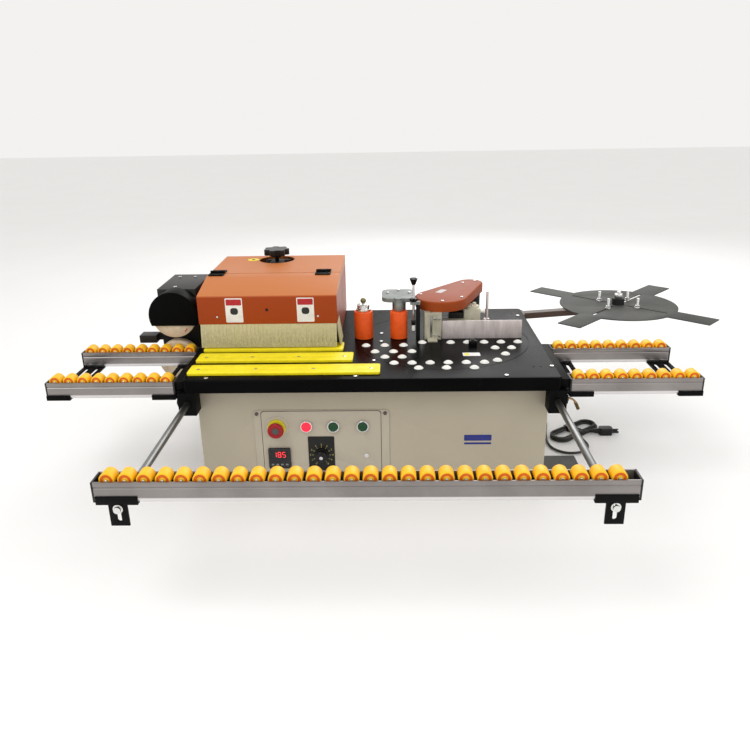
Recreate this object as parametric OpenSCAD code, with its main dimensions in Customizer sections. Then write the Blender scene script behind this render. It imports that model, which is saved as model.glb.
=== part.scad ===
// Benchtop edge banding machine: sheet steel cabinet, cast table, glue and press unit,
// hooded trimming unit, buffing unit, roller supports and a revolving tape tray.
// X runs to the operator's right, Y away from the operator, Z up.
// The origin is the middle of the base plate's underside.

/* [Table] */
// Width of the table top
table_w = 900; // [840:10:1200]
// Depth of the table top
table_d = 600; // [560:10:800]
// Height of the working surface above the floor
table_z = 310; // [290:5:420]
// Height of the skirt folded down around the table
skirt_h = 33; // [28:1:40]
// Thickness of the table plate
slab_t = 8; // [6:1:12]
// Thickness of the skirt
skirt_t = 3; // [2:0.5:5]
// Radius of the table's corners
table_r = 12; // [4:1:25]
// Distance from the table's middle line forward to the edge of the panel being worked
edge_y = -6; // [-30:1:10]

/* [Cabinet] */
// Overhang of the table past the cabinet at each side
side_overhang = 20; // [18:1:40]
// Overhang of the table past the cabinet at front and back
front_overhang = 45; // [45:1:80]
// Thickness of the cabinet's sheet
sheet = 2; // [1.5:0.5:3]
// Thickness of the base plate
base_t = 3; // [2:0.5:6]
// Width of the base plate's foot past the cabinet's right side
foot_w = 117; // [80:1:150]
// Depth of the foot
foot_d = 154; // [100:1:200]
// Diameter of the bench bolt holes
bench_hole_d = 9; // [6:0.5:12]
// Distance from a bench bolt hole to the cabinet's outside
bench_inset = 30; // [20:1:60]

/* [Control panel] */
// Width of the panel plate
panel_w = 336; // [330:1:360]
// Height of the panel plate
panel_h = 184; // [180:1:200]
// Middle of the panel plate, from the cabinet's middle
panel_x = -126; // [-140:1:-110]
// Drop from the table surface to the panel's middle
panel_drop = 189; // [170:1:195]
// Diameter of a push button's barrel
button_d = 22; // [16:1:22]
// Diameter of a push button's bezel
bezel_d = 30; // [28:1:34]
// Travel of the push buttons
button_travel = 3; // [2:0.5:4]
// Diameter of the emergency stop's mushroom head
estop_d = 40; // [30:1:40]

/* [Roller supports] */
// Distance between two rollers of a rail
roller_pitch = 33.5; // [30:0.5:40]
// Diameter of a roller
roller_d = 28; // [24:1:29]
// Width of a rail
rail_w = 42; // [38:1:50]
// Height of a rail
rail_h = 40; // [38:1:46]
// Number of rollers on each side rail
side_count = 9; // [6:1:12]
// Distance from the table's front edge to the front rail's front face
front_reach = 472; // [440:1:600]
// Height of the panel's underside above the table plate
glide_h = 6; // [5:1:10]
// Diameter of the two rods that carry the front rail
rod_d = 16; // [12:1:18]

/* [Press rollers] */
// Diameter of the left press roller
press_left_d = 51; // [40:1:60]
// Diameter of the right press roller
press_right_d = 47; // [40:1:55]
// Height of the press rollers
press_h = 77; // [60:1:90]
// Diameter of the press rollers' spindles
spindle_d = 12; // [10:1:16]

/* [Hood] */
// Width of the trimming hood
hood_w = 364; // [330:1:380]
// Depth of the trimming hood
hood_d = 392; // [380:1:440]
// Height of the hood's front edge above the table
hood_low = 70; // [60:1:90]
// Height of the hood's flat top above the table
hood_top = 170; // [160:1:200]
// Height of the bevel's lower edge above the table
bevel_low = 145; // [130:1:150]
// Diameter of the hole for the height knob
knob_hole_d = 104; // [90:1:120]
// Diameter of the height knob
star_d = 76; // [60:1:84]

/* [Buffing unit] */
// Diameter of the upper buffing wheel
buff_upper_d = 120; // [100:1:122]
// Diameter of the lower buffing wheel
buff_lower_d = 110; // [90:1:112]
// Width of the buffing wheels
buff_w = 32; // [20:1:34]
// Diameter of the buffing wheels' shafts
buff_shaft_d = 12; // [8:1:16]

/* [Tape tray] */
// Diameter of the tray's disc
tray_d = 356; // [300:1:400]
// Distance from the tray's middle to the tips of its arms
tray_reach = 298; // [250:1:320]
// Width of the tray's arms
tray_arm_w = 72; // [50:1:90]
// Thickness of the tray
tray_t = 3; // [2:0.5:5]
// Diameter of the tray's hub
hub_d = 38; // [30:1:46]

/* [Power lead] */
// Diameter of the power lead
cord_d = 7; // [6:0.5:9]

/* [Hidden] */

$fn = 48;
fit = 0.05;    // radial clearance of a shaft in its hole
gap = 0.5;     // clearance between parts that pass each other
over = 1;      // how far a cut runs past the face it opens

left_x = -table_w / 2;
right_x = table_w / 2;
front_y = -table_d / 2;
back_y = table_d / 2;
slab_z = table_z - slab_t;
skirt_z = table_z - skirt_h;
glide_z = table_z + glide_h;

cab_w = table_w - 2 * side_overhang;
cab_d = table_d - 2 * front_overhang;
cab_front = -cab_d / 2;
cab_back = cab_d / 2;

panel_t = 2;
face_t = 1;
panel_z = table_z - panel_drop;
face_y = cab_front - panel_t - face_t;
button_z = table_z - 140;
estop_x = -238;
estop_z = table_z - 143;
red_x = -164;
green_left_x = -97;
green_right_x = -24;
bezel_t = 6;
head_t = 4;
head_d = bezel_d - 6;
stem_d = button_d - 2.8;
display_s = 56;
display_x = -235;
display_z = table_z - 227;
display_cut = 45;
dial_x = -129;
dial_z = table_z - 219;
dial_shaft_d = 6;
dial_back = 15;
panel_screw_left = -286;
panel_screw_right = 32;
panel_screw_z = table_z - 106;
plug_x = -16;
plug_z = table_z - 222;

rail_top = glide_z - roller_d / 2;
rail_bottom = rail_top - rail_h;
cap_t = 4;
front_len = table_w + 70;
front_count = floor((front_len - 30) / roller_pitch);
front_row_left = 6;
front_rail_y = front_y - front_reach + rail_w / 2;
side_len = side_count * roller_pitch + 11.5;
wing_x = right_x + 21;
wing_front_y = front_y + 10 + rail_w / 2;
wing_back_y = front_y + 231 + rail_w / 2;
plate_t = 4;
plate_w = 57;

rod_x = right_x - rod_d / 2;
rod_z = skirt_z - 28;
rod_back_y = -100;
clamp_w = 42;
clamp_d = 43;
clamp_x = right_x + 14;
clamp_bolt_d = 8;
tab_t = 4;
tab_y = front_rail_y - rail_w / 2;

pad_d = 24;
pad_stem_d = 8;
strip_w = 60;
strip_left = left_x + 4;
strip_r = 6;
strip_screw_inset = 22;
screw_d = 4;
dome_r = (pow(pad_d / 2, 2) + pow(glide_h, 2)) / (2 * glide_h);
// Rows of glide pads: first pad's X, the row's Y, number of pads, distance between them
pad_rows = [
    [-19, -52, 3, 50], [132, -30, 1, 0], [208, -32, 5, 45], [6, -103, 3, 48],
    [321, -80, 2, 43], [32, -145, 2, 44], [341, -129, 1, 0], [55, -190, 6, 45],
    [314, -176, 1, 0], [115, -227, 3, 68]
];
// Glide strips: right end, distance of the front edge from the table's front
strips = [[21, 32], [-49, 120], [-78, 203]];
// Bolt heads seen on the table plate
table_bolts = [
    [left_x + 56, front_y + 14], [-38, front_y + 20], [321, front_y + 19], [4, -170],
    [21, -18], [21, 54], [right_x - 21, 218], [right_x - 10, -221]
];

press_z = table_z + 0.6;
left_roller = [-27, edge_y + press_left_d / 2];
right_roller = [69.5, edge_y + press_right_d / 2];
nut_z = table_z + press_h;

fence_knob_at = [265, -54];
fence_left = 187;
fence_len = 216;
fence_h = 51;
guide_posts = [[309, 60, 40], [331, 180, 86]];
bracket_z = table_z + 99;
bracket_t = 11;
adjust_at = [109, 0];
adjust_d = 6;
glue_x = 157;
glue_post_h = 74;
glue_front = edge_y;
glue_roll_d = 28;
glue_axis = [glue_x, glue_front + 16.5];
cover_z = table_z + glue_post_h;
cover_h = 27;
cover_t = 2;
cover_big = [188, 78, 72];
cover_small = [284, 236, 38];

hood_x = left_x - 6;
hood_end = hood_x + hood_w;
hood_front = front_y + 226;
hood_back = hood_front + hood_d;
hood_t = 2;
crease_y = hood_front + 124;
hinge_y = crease_y + 34;
hood_z = table_z + hood_top;
hinge_z = hood_z + 4.5;
hinge_pin_d = 4;
knuckle_d = 8;
hinge_w = 40;
hinge_mid = 13;
hinge_xs = [hood_x + 24, hood_end - 46];
tunnel_y = edge_y + 14;
curtain_z = glide_z + 1;
curtain_t = 6;

trim_x = hood_x + 163;
column_y = hood_back - 56;
screw_r = 6;
cutter_d = 19;
cutter_y = edge_y + cutter_d / 2;
motor_d = 56;
lower_x = trim_x + 93;

buff_x = left_x - 87;
buff_upper_z = table_z + 79;
buff_lower_z = table_z - 46;
buff_y = edge_y - 18;
guard_front = buff_y - 4;
housing_y = edge_y + 32;
housing_w = 105;
housing_d = 179;
guard_d = 132;
guard_t = 2.5;

tray_x = right_x + 312;
tray_y = back_y + 35;
tray_turn = 47;
tray_spindle_d = 12;
slot_w = 9;
arm_root_y = back_y - 32;
arm_h = 18;

nozzle_r = 20;
nozzle_bend = 65;
nozzle_drop = 7;

gland_x = right_x - 60;
gland_z = 60;
gland_len = 42;
hank_at = [583, 52];
hank_turn = 39;
hank_run = 119;
hank_w = 63;
hank_h = 2 * cord_d;
plug_at = [652, 41];
plug_size = [38, 26, 20];
relief_len = 28;
route = [
    [390, 297, 60], [390, 310, 60], [391, 325, 56], [394, 339, 46], [399, 352, 32],
    [406, 364, 18], [417, 373, 8], [432, 377, 4], [449, 373, 4], [464, 360, 4],
    [475, 338, 4], [484, 310, 4], [493, 275, 4], [502, 240, 4], [510, 205, 4],
    [515, 172, 4], [516, 140, 4], [512, 108, 4], [505, 76, 4], [498, 44, 4],
    [493, 12, 4], [491, -20, 4], [495, -49, 4], [508, -72, 4], [530, -86, 4],
    [555, -87, 4], [577, -78, 4], [593, -61, 4], [600, -39, 4], [599, -24, 4],
    [596, -9, 4], [594, 6, 4], [596, 22, 4]
];

// ---- shared shapes -------------------------------------------------------

// Rectangle with round corners, centred
module round_rect(w, d, r) {
    square([w - 2 * r, d], center = true);
    square([w, d - 2 * r], center = true);
    for (sx = [-1, 1], sy = [-1, 1])
        translate([sx * (w / 2 - r), sy * (d / 2 - r)]) circle(r);
}

// Box between two corners
module box(low, high) {
    translate(low) cube(high - low);
}

// Cylinder along X from x0 to x1
module rod_along_x(d, x0, x1) {
    translate([x0, 0, 0]) rotate([0, 90, 0]) cylinder(d = d, h = x1 - x0);
}

// Cylinder along Y from y0 to y1
module rod_along_y(d, y0, y1) {
    translate([0, y0, 0]) rotate([-90, 0, 0]) cylinder(d = d, h = y1 - y0);
}

// Upright cylinder from z0 to z1
module post(d, z0, z1) {
    translate([0, 0, z0]) cylinder(d = d, h = z1 - z0);
}

// Hexagonal nut across corners
module hex(d, z0, z1) {
    translate([0, 0, z0]) cylinder(d = d, h = z1 - z0, $fn = 6);
}

// Plate that stands across Y, with round corners
module front_plate(x, z, w, h, r, y_back, t) {
    translate([x, y_back, z]) rotate([90, 0, 0]) linear_extrude(t) round_rect(w, h, r);
}

// Profile drawn in Y and Z, extruded along X
module along_x(x0, x1) {
    translate([x0, 0, 0]) rotate([90, 0, 90]) linear_extrude(x1 - x0) children();
}

module both_sides() {
    children();
    mirror([1, 0, 0]) children();
}

// ---- cabinet and controls ------------------------------------------------

// Four walls of folded sheet, open above and below, with air slots at the back
module cabinet_shell() color("Wheat") difference() {
    box([-cab_w / 2, cab_front, base_t], [cab_w / 2, cab_back, slab_z]);
    box([-cab_w / 2 + sheet, cab_front + sheet, base_t - over],
        [cab_w / 2 - sheet, cab_back - sheet, slab_z + over]);
    box([panel_x - panel_w / 2 + 14, cab_front - over, panel_z - panel_h / 2 + 8],
        [panel_x + panel_w / 2 - 14, cab_front + sheet + over, panel_z + panel_h / 2 - 8]);
    for (x = [-260, -100], k = [0:6])
        box([x, cab_back - sheet - over, 80 + 18 * k], [x + 120, cab_back + over, 86 + 18 * k]);
    for (x = [panel_screw_left, panel_screw_right]) translate([x, 0, panel_screw_z])
        rod_along_y(screw_d + 2 * fit, cab_front - over, cab_front + sheet + over);
    translate([gland_x, 0, gland_z]) rod_along_y(16 + 2 * fit, cab_back - 5, cab_back + over);
}

// Base sheet that the cabinet stands on, with a foot that reaches out on the right
module base_plate() color("DimGray") difference() {
    union() {
        box([-cab_w / 2, cab_front, 0], [cab_w / 2, cab_back, base_t]);
        box([cab_w / 2 - over, cab_front, 0], [cab_w / 2 + foot_w, cab_front + foot_d, base_t]);
    }
    for (sx = [-1, 1], sy = [-1, 1])
        translate([sx * (cab_w / 2 - bench_inset), sy * (cab_d / 2 - bench_inset), 0])
            post(bench_hole_d, -over, base_t + over);
}

module button_hole(x, z) {
    translate([x, 0, z]) rod_along_y(button_d + 0.3, face_y - over, cab_front + over);
}

module control_panel() color("Wheat") difference() {
    union() {
        front_plate(panel_x, panel_z, panel_w, panel_h, 10, cab_front, panel_t);
        front_plate(panel_x - 1, panel_z + 1, panel_w - 40, panel_h - 8, 8,
                    cab_front - panel_t, face_t);
    }
    button_hole(estop_x, estop_z);
    for (x = [red_x, green_left_x, green_right_x]) button_hole(x, button_z);
    box([display_x - display_cut / 2 - 0.2, face_y - over, display_z - display_cut / 2 - 0.2],
        [display_x + display_cut / 2 + 0.2, cab_front + over, display_z + display_cut / 2 + 0.2]);
    translate([dial_x, 0, dial_z]) rod_along_y(dial_shaft_d + 2, face_y - over, cab_front + over);
    for (x = [panel_screw_left, panel_screw_right])
        translate([x, 0, panel_screw_z]) rod_along_y(screw_d + 2 * fit, face_y - over, cab_front + over);
    translate([plug_x, 0, plug_z]) rod_along_y(8 + 2 * fit, face_y - over, cab_front + over);
}

// Barrel through the panel with its lock nut; the bore takes the button's stem
module button_barrel() difference() {
    union() {
        rod_along_y(button_d, 0, 22);
        rod_along_y(bezel_d, panel_t + face_t + 1, panel_t + face_t + 6);
    }
    rod_along_y(stem_d + 2 * fit, -over, 22 + over);
}

module bezel() {
    difference() {
        rod_along_y(bezel_d, -bezel_t, 0);
        rod_along_y(stem_d + 2 * fit, -bezel_t - over, over);
        rod_along_y(head_d + 0.2, -bezel_t - over, -bezel_t + head_t + 0.5);
    }
    button_barrel();
}

// Rings of the push buttons, the emergency stop's round plate and a blind plug
module button_bezels() color("Silver") {
    for (x = [red_x, green_left_x, green_right_x]) translate([x, face_y, button_z]) bezel();
    translate([estop_x, face_y, estop_z]) {
        difference() {
            union() {
                rod_along_y(60, -1.5, 0);
                rod_along_y(bezel_d, -8, -1);
            }
            rod_along_y(stem_d + 2 * fit, -9, over);
        }
        button_barrel();
    }
    translate([plug_x, face_y, plug_z]) {
        rod_along_y(12, -2, 0);
        rod_along_y(8, -1, 8);
    }
}

module push_button(x) translate([x, face_y, button_z]) {
    rod_along_y(head_d, -bezel_t - button_travel, -bezel_t - button_travel + head_t);
    rod_along_y(stem_d, -bezel_t - button_travel + 1, 18);
}

module estop_button() color("Red") translate([estop_x, face_y, estop_z]) {
    rod_along_y(estop_d, -26, -18);
    rod_along_y(estop_d - 8, -28, -14);
    rod_along_y(stem_d, -15, 16);
}

module red_button() color("Crimson") push_button(red_x);
module green_button_left() color("DarkGreen") push_button(green_left_x);
module green_button_right() color("DarkGreen") push_button(green_right_x);

// Temperature controller: front frame, window, key pads and the case behind
module display_unit() color("Black") translate([display_x, face_y, display_z]) {
    difference() {
        front_plate(0, 0, display_s, display_s, 3, 0, 6);
        box([-21, -7, 0], [21, -5, 21]);
    }
    for (k = [-1.5:1.5]) box([12 * k - 4, -7, -19], [12 * k + 4, -5.5, -13]);
    box([-display_cut / 2, -1, -display_cut / 2], [display_cut / 2, 70, display_cut / 2]);
}

// Scale plate of the speed dial, with the potentiometer's case behind the panel
module dial_plate() color("Black") difference() {
    union() {
        front_plate(dial_x, dial_z + 1, 66, 100, 3, face_y, 1.5);
        translate([dial_x, 0, dial_z]) {
            rod_along_y(24, cab_front, cab_front + dial_back);
            rod_along_y(dial_shaft_d + 1.8, face_y - 1, cab_front + over);
        }
    }
    translate([dial_x, 0, dial_z]) rod_along_y(dial_shaft_d + 2 * fit, face_y - 5, cab_front + 12);
}

module dial_knob() color("Black") translate([dial_x, 0, dial_z]) {
    rod_along_y(30, face_y - 17, face_y - 2);
    rod_along_y(34, face_y - 5, face_y - 2);
    rod_along_y(dial_shaft_d, face_y - 3, cab_front + 11);
    box([-2, face_y - 21, -13], [2, face_y - 16, 13]);
}

// Mounting plate inside the cabinet with supply, speed drive and contactors
module control_box() color("Gray") {
    box([-160, cab_back - 40, base_t], [160, cab_back - 36, 230]);
    box([-140, cab_back - 110, 30], [-40, cab_back - 40, 130]);
    box([-20, cab_back - 120, 30], [60, cab_back - 40, 180]);
    for (k = [0:2]) box([75 + 26 * k, cab_back - 90, 60], [98 + 26 * k, cab_back - 40, 130]);
    box([-140, cab_back - 60, 170], [-40, cab_back - 40, 200]);
}

// ---- table ----------------------------------------------------------------

module at_pads() {
    for (row = pad_rows, k = [0:row[2] - 1])
        translate([row[0] + k * row[3], row[1], table_z]) children();
}

module at_strip_screws() {
    for (s = strips, k = [0:3])
        translate([strip_left + strip_screw_inset
                   + k * (s[0] - strip_left - 2 * strip_screw_inset) / 3,
                   front_y + s[1] + strip_w / 2, table_z]) children();
}

module at_table_bolts() {
    for (p = table_bolts) translate([p[0], p[1], table_z]) children();
}

module table_top() color("Black") difference() {
    translate([0, 0, skirt_z]) linear_extrude(skirt_h) round_rect(table_w, table_d, table_r);
    translate([0, 0, skirt_z - over]) linear_extrude(skirt_h - slab_t + over)
        round_rect(table_w - 2 * skirt_t, table_d - 2 * skirt_t, table_r - skirt_t);
    // seam of the round insert around the glue unit
    translate([185, -5, 0]) difference() {
        post(468, table_z - 1, table_z + over);
        post(466, table_z - 2, table_z + 2 * over);
    }
    at_pads() post(pad_stem_d + 2 * fit, -slab_t - over, over);
    at_strip_screws() post(screw_d + 2 * fit, -slab_t - over, over);
    at_table_bolts() post(screw_d + 2 * fit, -slab_t - over, over);
    for (p = [left_roller, right_roller])
        translate([p[0], p[1], table_z]) post(spindle_d + 2 * fit, -slab_t - over, over);
    translate([fence_knob_at[0], fence_knob_at[1], table_z]) post(8 + 2 * fit, -slab_t - over, over);
    translate([lower_x, cutter_y, table_z]) post(28, -slab_t - over, over);
}

// Low white domes that the panel glides on
module slide_pads() color("White") at_pads() {
    intersection() {
        translate([0, 0, glide_h - dome_r]) sphere(dome_r);
        post(pad_d, 0, glide_h + over);
    }
    post(pad_stem_d, -slab_t, over);
}

module guide_strips() color("Yellow") difference() {
    for (s = strips)
        translate([(strip_left + s[0]) / 2, front_y + s[1] + strip_w / 2, table_z])
            linear_extrude(glide_h) round_rect(s[0] - strip_left, strip_w, strip_r);
    at_strip_screws() {
        post(screw_d + 2 * fit, -over, glide_h + over);
        post(10, glide_h - 1.5, glide_h + over);
    }
}

// Screws of the strips, the table and the control panel
module screws() color("Silver") {
    at_strip_screws() {
        post(screw_d, -slab_t - 4, glide_h - 1);
        post(9.8, glide_h - 1.5, glide_h - 0.3);
    }
    at_table_bolts() {
        post(screw_d, -slab_t, 1);
        post(10, 0, 2);
    }
    for (x = [panel_screw_left, panel_screw_right]) translate([x, face_y + face_t, panel_screw_z]) {
        rod_along_y(9, -3, 0);
        rod_along_y(screw_d, -1, panel_t + 4);
    }
}

// Stainless guide fence on an angle foot, and the two posts that turn the tape
module fence() color("Gainsboro") {
    box([fence_left, 1, table_z], [fence_left + fence_len, 4, table_z + fence_h]);
    box([fence_left, 3, table_z], [fence_left + fence_len, 34, table_z + 3]);
    for (p = guide_posts) translate([p[0], p[1], 0]) {
        post(8, table_z, table_z + p[2]);
        post(16, table_z, table_z + 4);
    }
}

// Three-lobed clamping knob on the table
module fence_knob() color("Black") translate([fence_knob_at[0], fence_knob_at[1], 0]) {
    post(18, table_z + gap, table_z + 14);
    for (a = [90:120:330]) rotate(a) translate([8, 0, 0]) post(9, table_z + gap, table_z + 14);
    post(10, table_z + 13, table_z + 17);
    post(8, slab_z - 6, table_z + 1);
}

// ---- press rollers ----------------------------------------------------------

// Fixed spindles, each with a nut below the table; the left one has a crown nut and a ball
module roller_spindles() color("Silver") {
    for (p = [left_roller, right_roller]) translate([p[0], p[1], 0]) {
        post(spindle_d, slab_z - 16, nut_z + 2);
        hex(24, slab_z - 10, slab_z);
    }
    translate([left_roller[0], left_roller[1], 0]) difference() {
        union() {
            post(39, nut_z, nut_z + 6);
            post(34, nut_z, nut_z + 18);
            post(6, nut_z, nut_z + 24);
            translate([0, 0, nut_z + 28]) sphere(d = 15);
        }
        for (a = [0:60:120]) rotate(a) box([-20, -4, nut_z + 9], [-8, 4, nut_z + 19]);
        for (a = [0:60:120]) rotate(a) box([8, -4, nut_z + 9], [20, 4, nut_z + 19]);
    }
    translate([right_roller[0], right_roller[1], 0]) post(spindle_d, nut_z, nut_z + 34);
}

module press_roller(d) difference() {
    post(d, press_z, nut_z - 0.6);
    post(spindle_d + 2 * fit, press_z - over, nut_z + over);
}

module press_roller_left() color("OrangeRed")
    translate([left_roller[0], left_roller[1], 0]) press_roller(press_left_d);
module press_roller_right() color("OrangeRed")
    translate([right_roller[0], right_roller[1], 0]) press_roller(press_right_d);

// Cast arm over the right press roller: plate, boss, column and the adjusting screw's lug
module roller_bracket() color("DarkGray") difference() {
    union() {
        translate([right_roller[0], right_roller[1] + 53, bracket_z])
            linear_extrude(bracket_t) round_rect(92, 104, 24);
        translate([right_roller[0], right_roller[1], 0]) post(22, nut_z + 0.6, bracket_z + bracket_t + 3);
        box([52, 92, table_z], [90, 114, bracket_z + 1]);
        box([adjust_at[0] - 9, adjust_at[1] - 8, bracket_z], [adjust_at[0] + 9, 40, bracket_z + 7]);
        box([adjust_at[0] + 7, adjust_at[1] - 4, table_z], [adjust_at[0] + 18, 10, bracket_z + 7]);
    }
    translate([right_roller[0], right_roller[1], 0])
        post(spindle_d + 2 * fit, nut_z - over, bracket_z + bracket_t + 4);
    translate([adjust_at[0], adjust_at[1], 0])
        post(adjust_d + 2 * fit, bracket_z - over, bracket_z + 8);
}

// Adjusting screw with a wing knob on top, a star nut and a sleeve at its foot
module adjust_screw() color("Black") translate([adjust_at[0], adjust_at[1], 0]) {
    post(adjust_d, table_z + 22, table_z + 164);
    post(9, table_z + 22, table_z + 60);
    post(14, bracket_z + 7 + gap, bracket_z + 18);
    for (a = [0:60:300]) rotate(a) translate([8, 0, 0]) post(5, bracket_z + 9, bracket_z + 16);
    post(12, table_z + 155, table_z + 165);
    box([-11.5, -3, table_z + 158], [11.5, 3, table_z + 170]);
}

// ---- glue unit ----------------------------------------------------------------

// Slotted post with the glue roller's bore, channel and heated pot behind the fence
module glue_unit() color("DarkSeaGreen") difference() {
    union() {
        box([glue_x - 10, glue_front - 23, table_z], [glue_x + 16, 41, table_z + 4]);
        box([glue_x - 18, glue_front, table_z], [glue_x + 28, 46, cover_z]);
        box([glue_x + 10, 42, table_z + 4], [270, 62, table_z + 40]);
        box([251, 60, table_z], [297, 110, table_z + 66]);
        translate([274, 85, 0]) post(40, table_z + 60, table_z + 71);
        translate([282, 85, 0]) post(10, table_z + 60, table_z + 79);
        translate([290, 70, table_z + 58]) rod_along_x(8, 0, 14);
    }
    translate([glue_axis[0], glue_axis[1], 0]) {
        post(glue_roll_d + 0.6, table_z + 6, cover_z - 8);
        post(10 + 2 * fit, table_z + 1, cover_z + over);
    }
    box([glue_x - 3, glue_front - over, table_z + 6], [glue_x + 3, glue_axis[1], cover_z - 8]);
    box([fence_left - 3, -over, table_z - over], [fence_left + 40, 41.5, table_z + 4.5]);
}

module glue_roller() color("Goldenrod") translate([glue_axis[0], glue_axis[1], 0]) {
    post(glue_roll_d, table_z + 7, cover_z - 9);
    post(10, table_z + 2, cover_z - 1);
}

// Outline of two circles joined by their outer tangents
module teardrop(a, b, inset) {
    ra = a[2] - inset;
    rb = b[2] - inset;
    dx = b[0] - a[0];
    dy = b[1] - a[1];
    dist = sqrt(dx * dx + dy * dy);
    base = atan2(dy, dx);
    lean = acos((ra - rb) / dist);
    translate([a[0], a[1]]) circle(ra);
    translate([b[0], b[1]]) circle(rb);
    polygon([
        [a[0] + ra * cos(base + lean), a[1] + ra * sin(base + lean)],
        [a[0] + ra * cos(base - lean), a[1] + ra * sin(base - lean)],
        [b[0] + rb * cos(base - lean), b[1] + rb * sin(base - lean)],
        [b[0] + rb * cos(base + lean), b[1] + rb * sin(base + lean)]
    ]);
}

module belt_cover() color("DarkOrange") difference() {
    translate([0, 0, cover_z]) linear_extrude(cover_h) teardrop(cover_big, cover_small, 0);
    translate([0, 0, cover_z - over]) linear_extrude(cover_h - cover_t + over)
        teardrop(cover_big, cover_small, cover_t);
}

// Geared motor under the cover's small end with its pulley, and the tape cutter's solenoid
module feed_motor() color("DimGray") {
    translate([cover_small[0], cover_small[1], 0]) {
        post(60, table_z, cover_z + 1);
        post(10, cover_z, cover_z + 20);
        post(32, cover_z + 6, cover_z + 16);
    }
    box([210, 63, table_z], [250, 104, table_z + 56]);
}

// ---- trimming hood --------------------------------------------------------------

// Fixed part of the hood: side walls, back and the rear of the top
module hood_body() color("DarkOrange") difference() {
    union() {
        for (x = [hood_x, hood_end - hood_t]) along_x(x, x + hood_t) polygon([
            [hood_front + hood_t + gap, table_z + hood_low + hood_t],
            [hood_front + hood_t + gap, table_z + bevel_low - hood_t - gap],
            [crease_y, hood_z - hood_t - gap],
            [hinge_y + gap, hood_z - hood_t - gap],
            [hinge_y + gap, hood_z],
            [hood_back, hood_z],
            [hood_back, table_z + gap],
            [tunnel_y, table_z + gap],
            [tunnel_y, table_z + hood_low + hood_t]
        ]);
        box([hood_x, hinge_y + gap, hood_z - hood_t], [hood_end, hood_back, hood_z]);
        box([hood_x, hood_back - hood_t, table_z + gap], [hood_end, hood_back, hood_z]);
    }
    translate([trim_x, column_y, 0]) post(knob_hole_d, hood_z - 5, hood_z + over);
}

// Middle knuckle and leaf of a hood hinge, on the flap
module flap_leaf() difference() {
    union() {
        box([-hinge_w / 2, hinge_y - 30, hood_z], [hinge_w / 2, hinge_y - 5, hood_z + 3]);
        box([-hinge_mid / 2, hinge_y - 6, hood_z], [hinge_mid / 2, hinge_y - 0.6, hood_z + 3]);
        translate([0, hinge_y, hinge_z]) rod_along_x(knuckle_d, -hinge_mid / 2, hinge_mid / 2);
    }
    translate([0, hinge_y, hinge_z]) rod_along_x(hinge_pin_d + 2 * fit, -hinge_w, hinge_w);
}

// Front, bevel and front strip of the top, swinging up on two hinges
module hood_flap() color("DarkOrange") {
    difference() {
        along_x(hood_x, hood_end) polygon([
            [hood_front, table_z + hood_low],
            [hood_front, table_z + bevel_low],
            [crease_y, hood_z],
            [hinge_y - gap, hood_z],
            [hinge_y - gap, hood_z - hood_t],
            [crease_y + 0.2, hood_z - hood_t],
            [hood_front + hood_t, table_z + bevel_low - 1.6],
            [hood_front + hood_t, table_z + hood_low]
        ]);
        translate([hood_x + 181, 0, table_z + 108])
            rod_along_y(8, hood_front - over, hood_front + hood_t + over);
    }
    for (x = hinge_xs) translate([x, 0, 0]) flap_leaf();
    for (x = [hood_x + 50, hood_end - 50]) translate([x, hood_front, table_z + 90])
        rod_along_y(9, -2.5, 1);
}

// Rear leaves with the outer knuckles and the pins
module hood_hinges() color("Black") for (x = hinge_xs) translate([x, 0, 0]) {
    box([-hinge_w / 2, hinge_y + 5, hood_z], [hinge_w / 2, hinge_y + 30, hood_z + 3]);
    for (s = [-1, 1]) {
        x0 = s > 0 ? hinge_mid / 2 + 0.3 : -hinge_w / 2;
        x1 = s > 0 ? hinge_w / 2 : -hinge_mid / 2 - 0.3;
        box([x0, hinge_y + 0.6, hood_z], [x1, hinge_y + 6, hood_z + 3]);
        translate([0, hinge_y, hinge_z]) rod_along_x(knuckle_d, x0, x1);
    }
    translate([0, hinge_y, hinge_z]) rod_along_x(hinge_pin_d, -hinge_w / 2, hinge_w / 2);
}

// Bristle curtain that hangs inside the flap, over the panel's way in
module front_curtain() color("Khaki")
    box([hood_x + 3, hood_front + hood_t, curtain_z],
        [hood_end - 3, hood_front + hood_t + curtain_t, table_z + hood_low + 12]);

// Bristle curtain along the hood's right side
module side_curtain() color("Khaki")
    box([hood_end - hood_t - curtain_t, hood_front + hood_t + curtain_t + 2, curtain_z],
        [hood_end - hood_t, tunnel_y - 1, table_z + hood_low + 14]);

// Star knob above the hood on the lead screw of the upper trimmer
module height_knob() color("Black") translate([trim_x, column_y, 0]) {
    post(star_d - 16, hood_z + 16, hood_z + 33);
    for (a = [0:360 / 7:359]) rotate(a)
        translate([star_d / 2 - 10, 0, 0]) post(20, hood_z + 16, hood_z + 33);
    post(26, hood_z + 8, hood_z + 17);
    post(2 * screw_r, table_z + 9, hood_z + 17);
}

// Upright slide behind the edge line with the lead screw's two bearings
module trim_column() color("Gray") translate([trim_x, column_y, 0]) difference() {
    union() {
        box([-37, -24, table_z], [37, 36, table_z + 8]);
        box([-37, 24, table_z + 7], [37, 36, hood_z - 6]);
        for (z = [table_z + 8, hood_z - 18]) box([-20, -20, z], [20, 25, z + 12]);
    }
    post(2 * screw_r + 2 * fit, table_z + 8, hood_z);
}

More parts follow.
